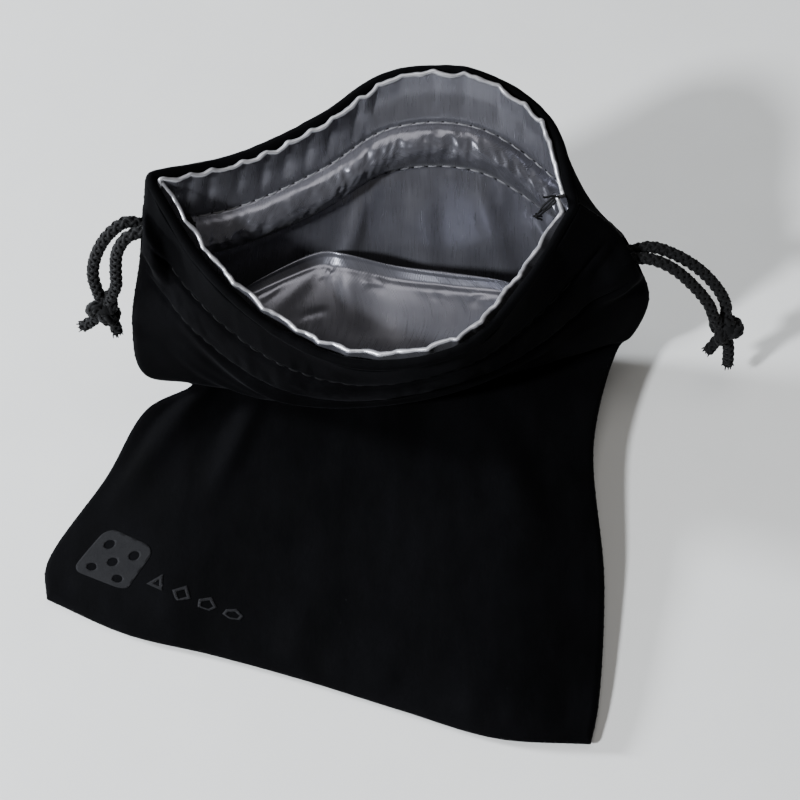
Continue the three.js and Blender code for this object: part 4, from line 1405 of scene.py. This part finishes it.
def print_patch(name, node, loops):
    """A thin patch of ink with the given outlines, following the cloth under it."""
    loops = [dense(loop) for loop in loops]
    outline = np.concatenate(loops)
    edges, first = [], 0
    for loop in loops:
        n = len(loop)
        edges += [(first + k, first + (k + 1) % n) for k in range(n)]
        first += n
    low, high = outline.min(axis=0), outline.max(axis=0)
    xs, ys = np.meshgrid(np.arange(low[0], high[0], 0.4), np.arange(low[1], high[1], 0.4))
    fill = np.stack([xs.ravel(), ys.ravel()], axis=-1)
    fill = fill[inside_loops(fill, loops)]
    gap = np.min(np.linalg.norm(fill[:, None] - outline[None], axis=-1), axis=1)
    flat = np.concatenate([outline, fill[gap > 0.22]])
    found, _, faces, *_ = delaunay_2d_cdt([Vector(p) for p in flat], edges, [], 0, 1e-6)
    found = np.array([tuple(v) for v in found])
    faces = np.array([f for f in faces if len(f) == 3])
    faces = faces[inside_loops(found[faces].mean(axis=1), loops)]
    spots, away = on_front(found)
    top, count = spots + away * PRINT_THICK, len(found)
    both = np.concatenate([top, spots - away * 0.05])
    directed = {(a, b) for f in faces for a, b in zip(f, np.roll(f, -1))}
    walls = [(b, a, a + count, b + count) for a, b in directed if (b, a) not in directed]
    every = [tuple(f) for f in faces] + [tuple(f[::-1] + count) for f in faces] + walls
    piece = mesh_piece(name, both, every, PRINT_LOOK)
    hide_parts(node)
    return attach(piece, "bag")


half_face, pip_spread = DIE_FACE / 2, DIE_FACE / 4
pips = [polygon(x * pip_spread, y * pip_spread, PIP / 2, 20)
        for x, y in ((0, 0), (-1, -1), (1, -1), (-1, 1), (1, 1))]
print_patch("die_face_ink", "printed_die_face", [rounded_square(half_face, DIE_FACE / 5)] + pips)
for i, count in enumerate((3, 4, 5, 6)):
    x = half_face + SHAPE_PITCH * (i + 0.8)
    outer = polygon(x, 0, SHAPE_SIZE / 2, count)
    inner = polygon(x, 0, SHAPE_SIZE / 2 - BAR * 0.75 / math.cos(math.pi / count), count)
    print_patch(f"shape_{count}_sides_ink", f"printed_shape_{count}_sides", [outer, inner])


# ---------------------------------------------------------------- floor and light
def make_floor():
    mesh = bpy.data.meshes.new("floor")
    half = 9.0
    corners = [(x * half, y * half, -0.0002) for x, y in ((-1, -1), (1, -1), (1, 1), (-1, 1))]
    mesh.from_pydata(corners,
                     [], [(0, 1, 2, 3)])
    mesh.materials.append(floor_material())
    floor = link(mesh)


def area_light(name, place, aim, size, power, colour):
    data = bpy.data.lights.new(name, "AREA")
    data.shape, data.size, data.energy, data.color = "DISK", size, power, colour
    lamp = bpy.data.objects.new(name, data)
    bpy.context.scene.collection.objects.link(lamp)
    lamp.location = place
    lamp.rotation_euler = (Vector(aim) - Vector(place)).to_track_quat("-Z", "Y").to_euler()


def make_world():
    world = bpy.data.worlds.new("room")
    bpy.context.scene.world = world
    world.use_nodes = True
    background = world.node_tree.nodes["Background"]
    background.inputs["Color"].default_value = (1.0, 0.975, 0.94, 1)
    background.inputs["Strength"].default_value = 0.14


make_floor()
make_world()
AIM = Vector((0.011, 0.020, 0.020))


def light_from(name, heading, elevation, distance, size, power, colour):
    """A soft lamp that shines in the heading given in degrees, from that elevation, at the object."""
    turn, rise = math.radians(heading), math.radians(elevation)
    towards = Vector((-math.cos(turn) * math.cos(rise), -math.sin(turn) * math.cos(rise), math.sin(rise)))
    area_light(name, AIM + towards * distance, AIM, size, power, colour)


light_from("key_front_left", 38, 36, 1.1, 0.12, 25, (0.93, 0.965, 1.0))
light_from("window_left", -12, 18, 1.2, 0.22, 37, (0.90, 0.95, 1.0))
light_from("overhead", 250, 84, 1.3, 0.8, 5.2, (1.0, 0.98, 0.95))
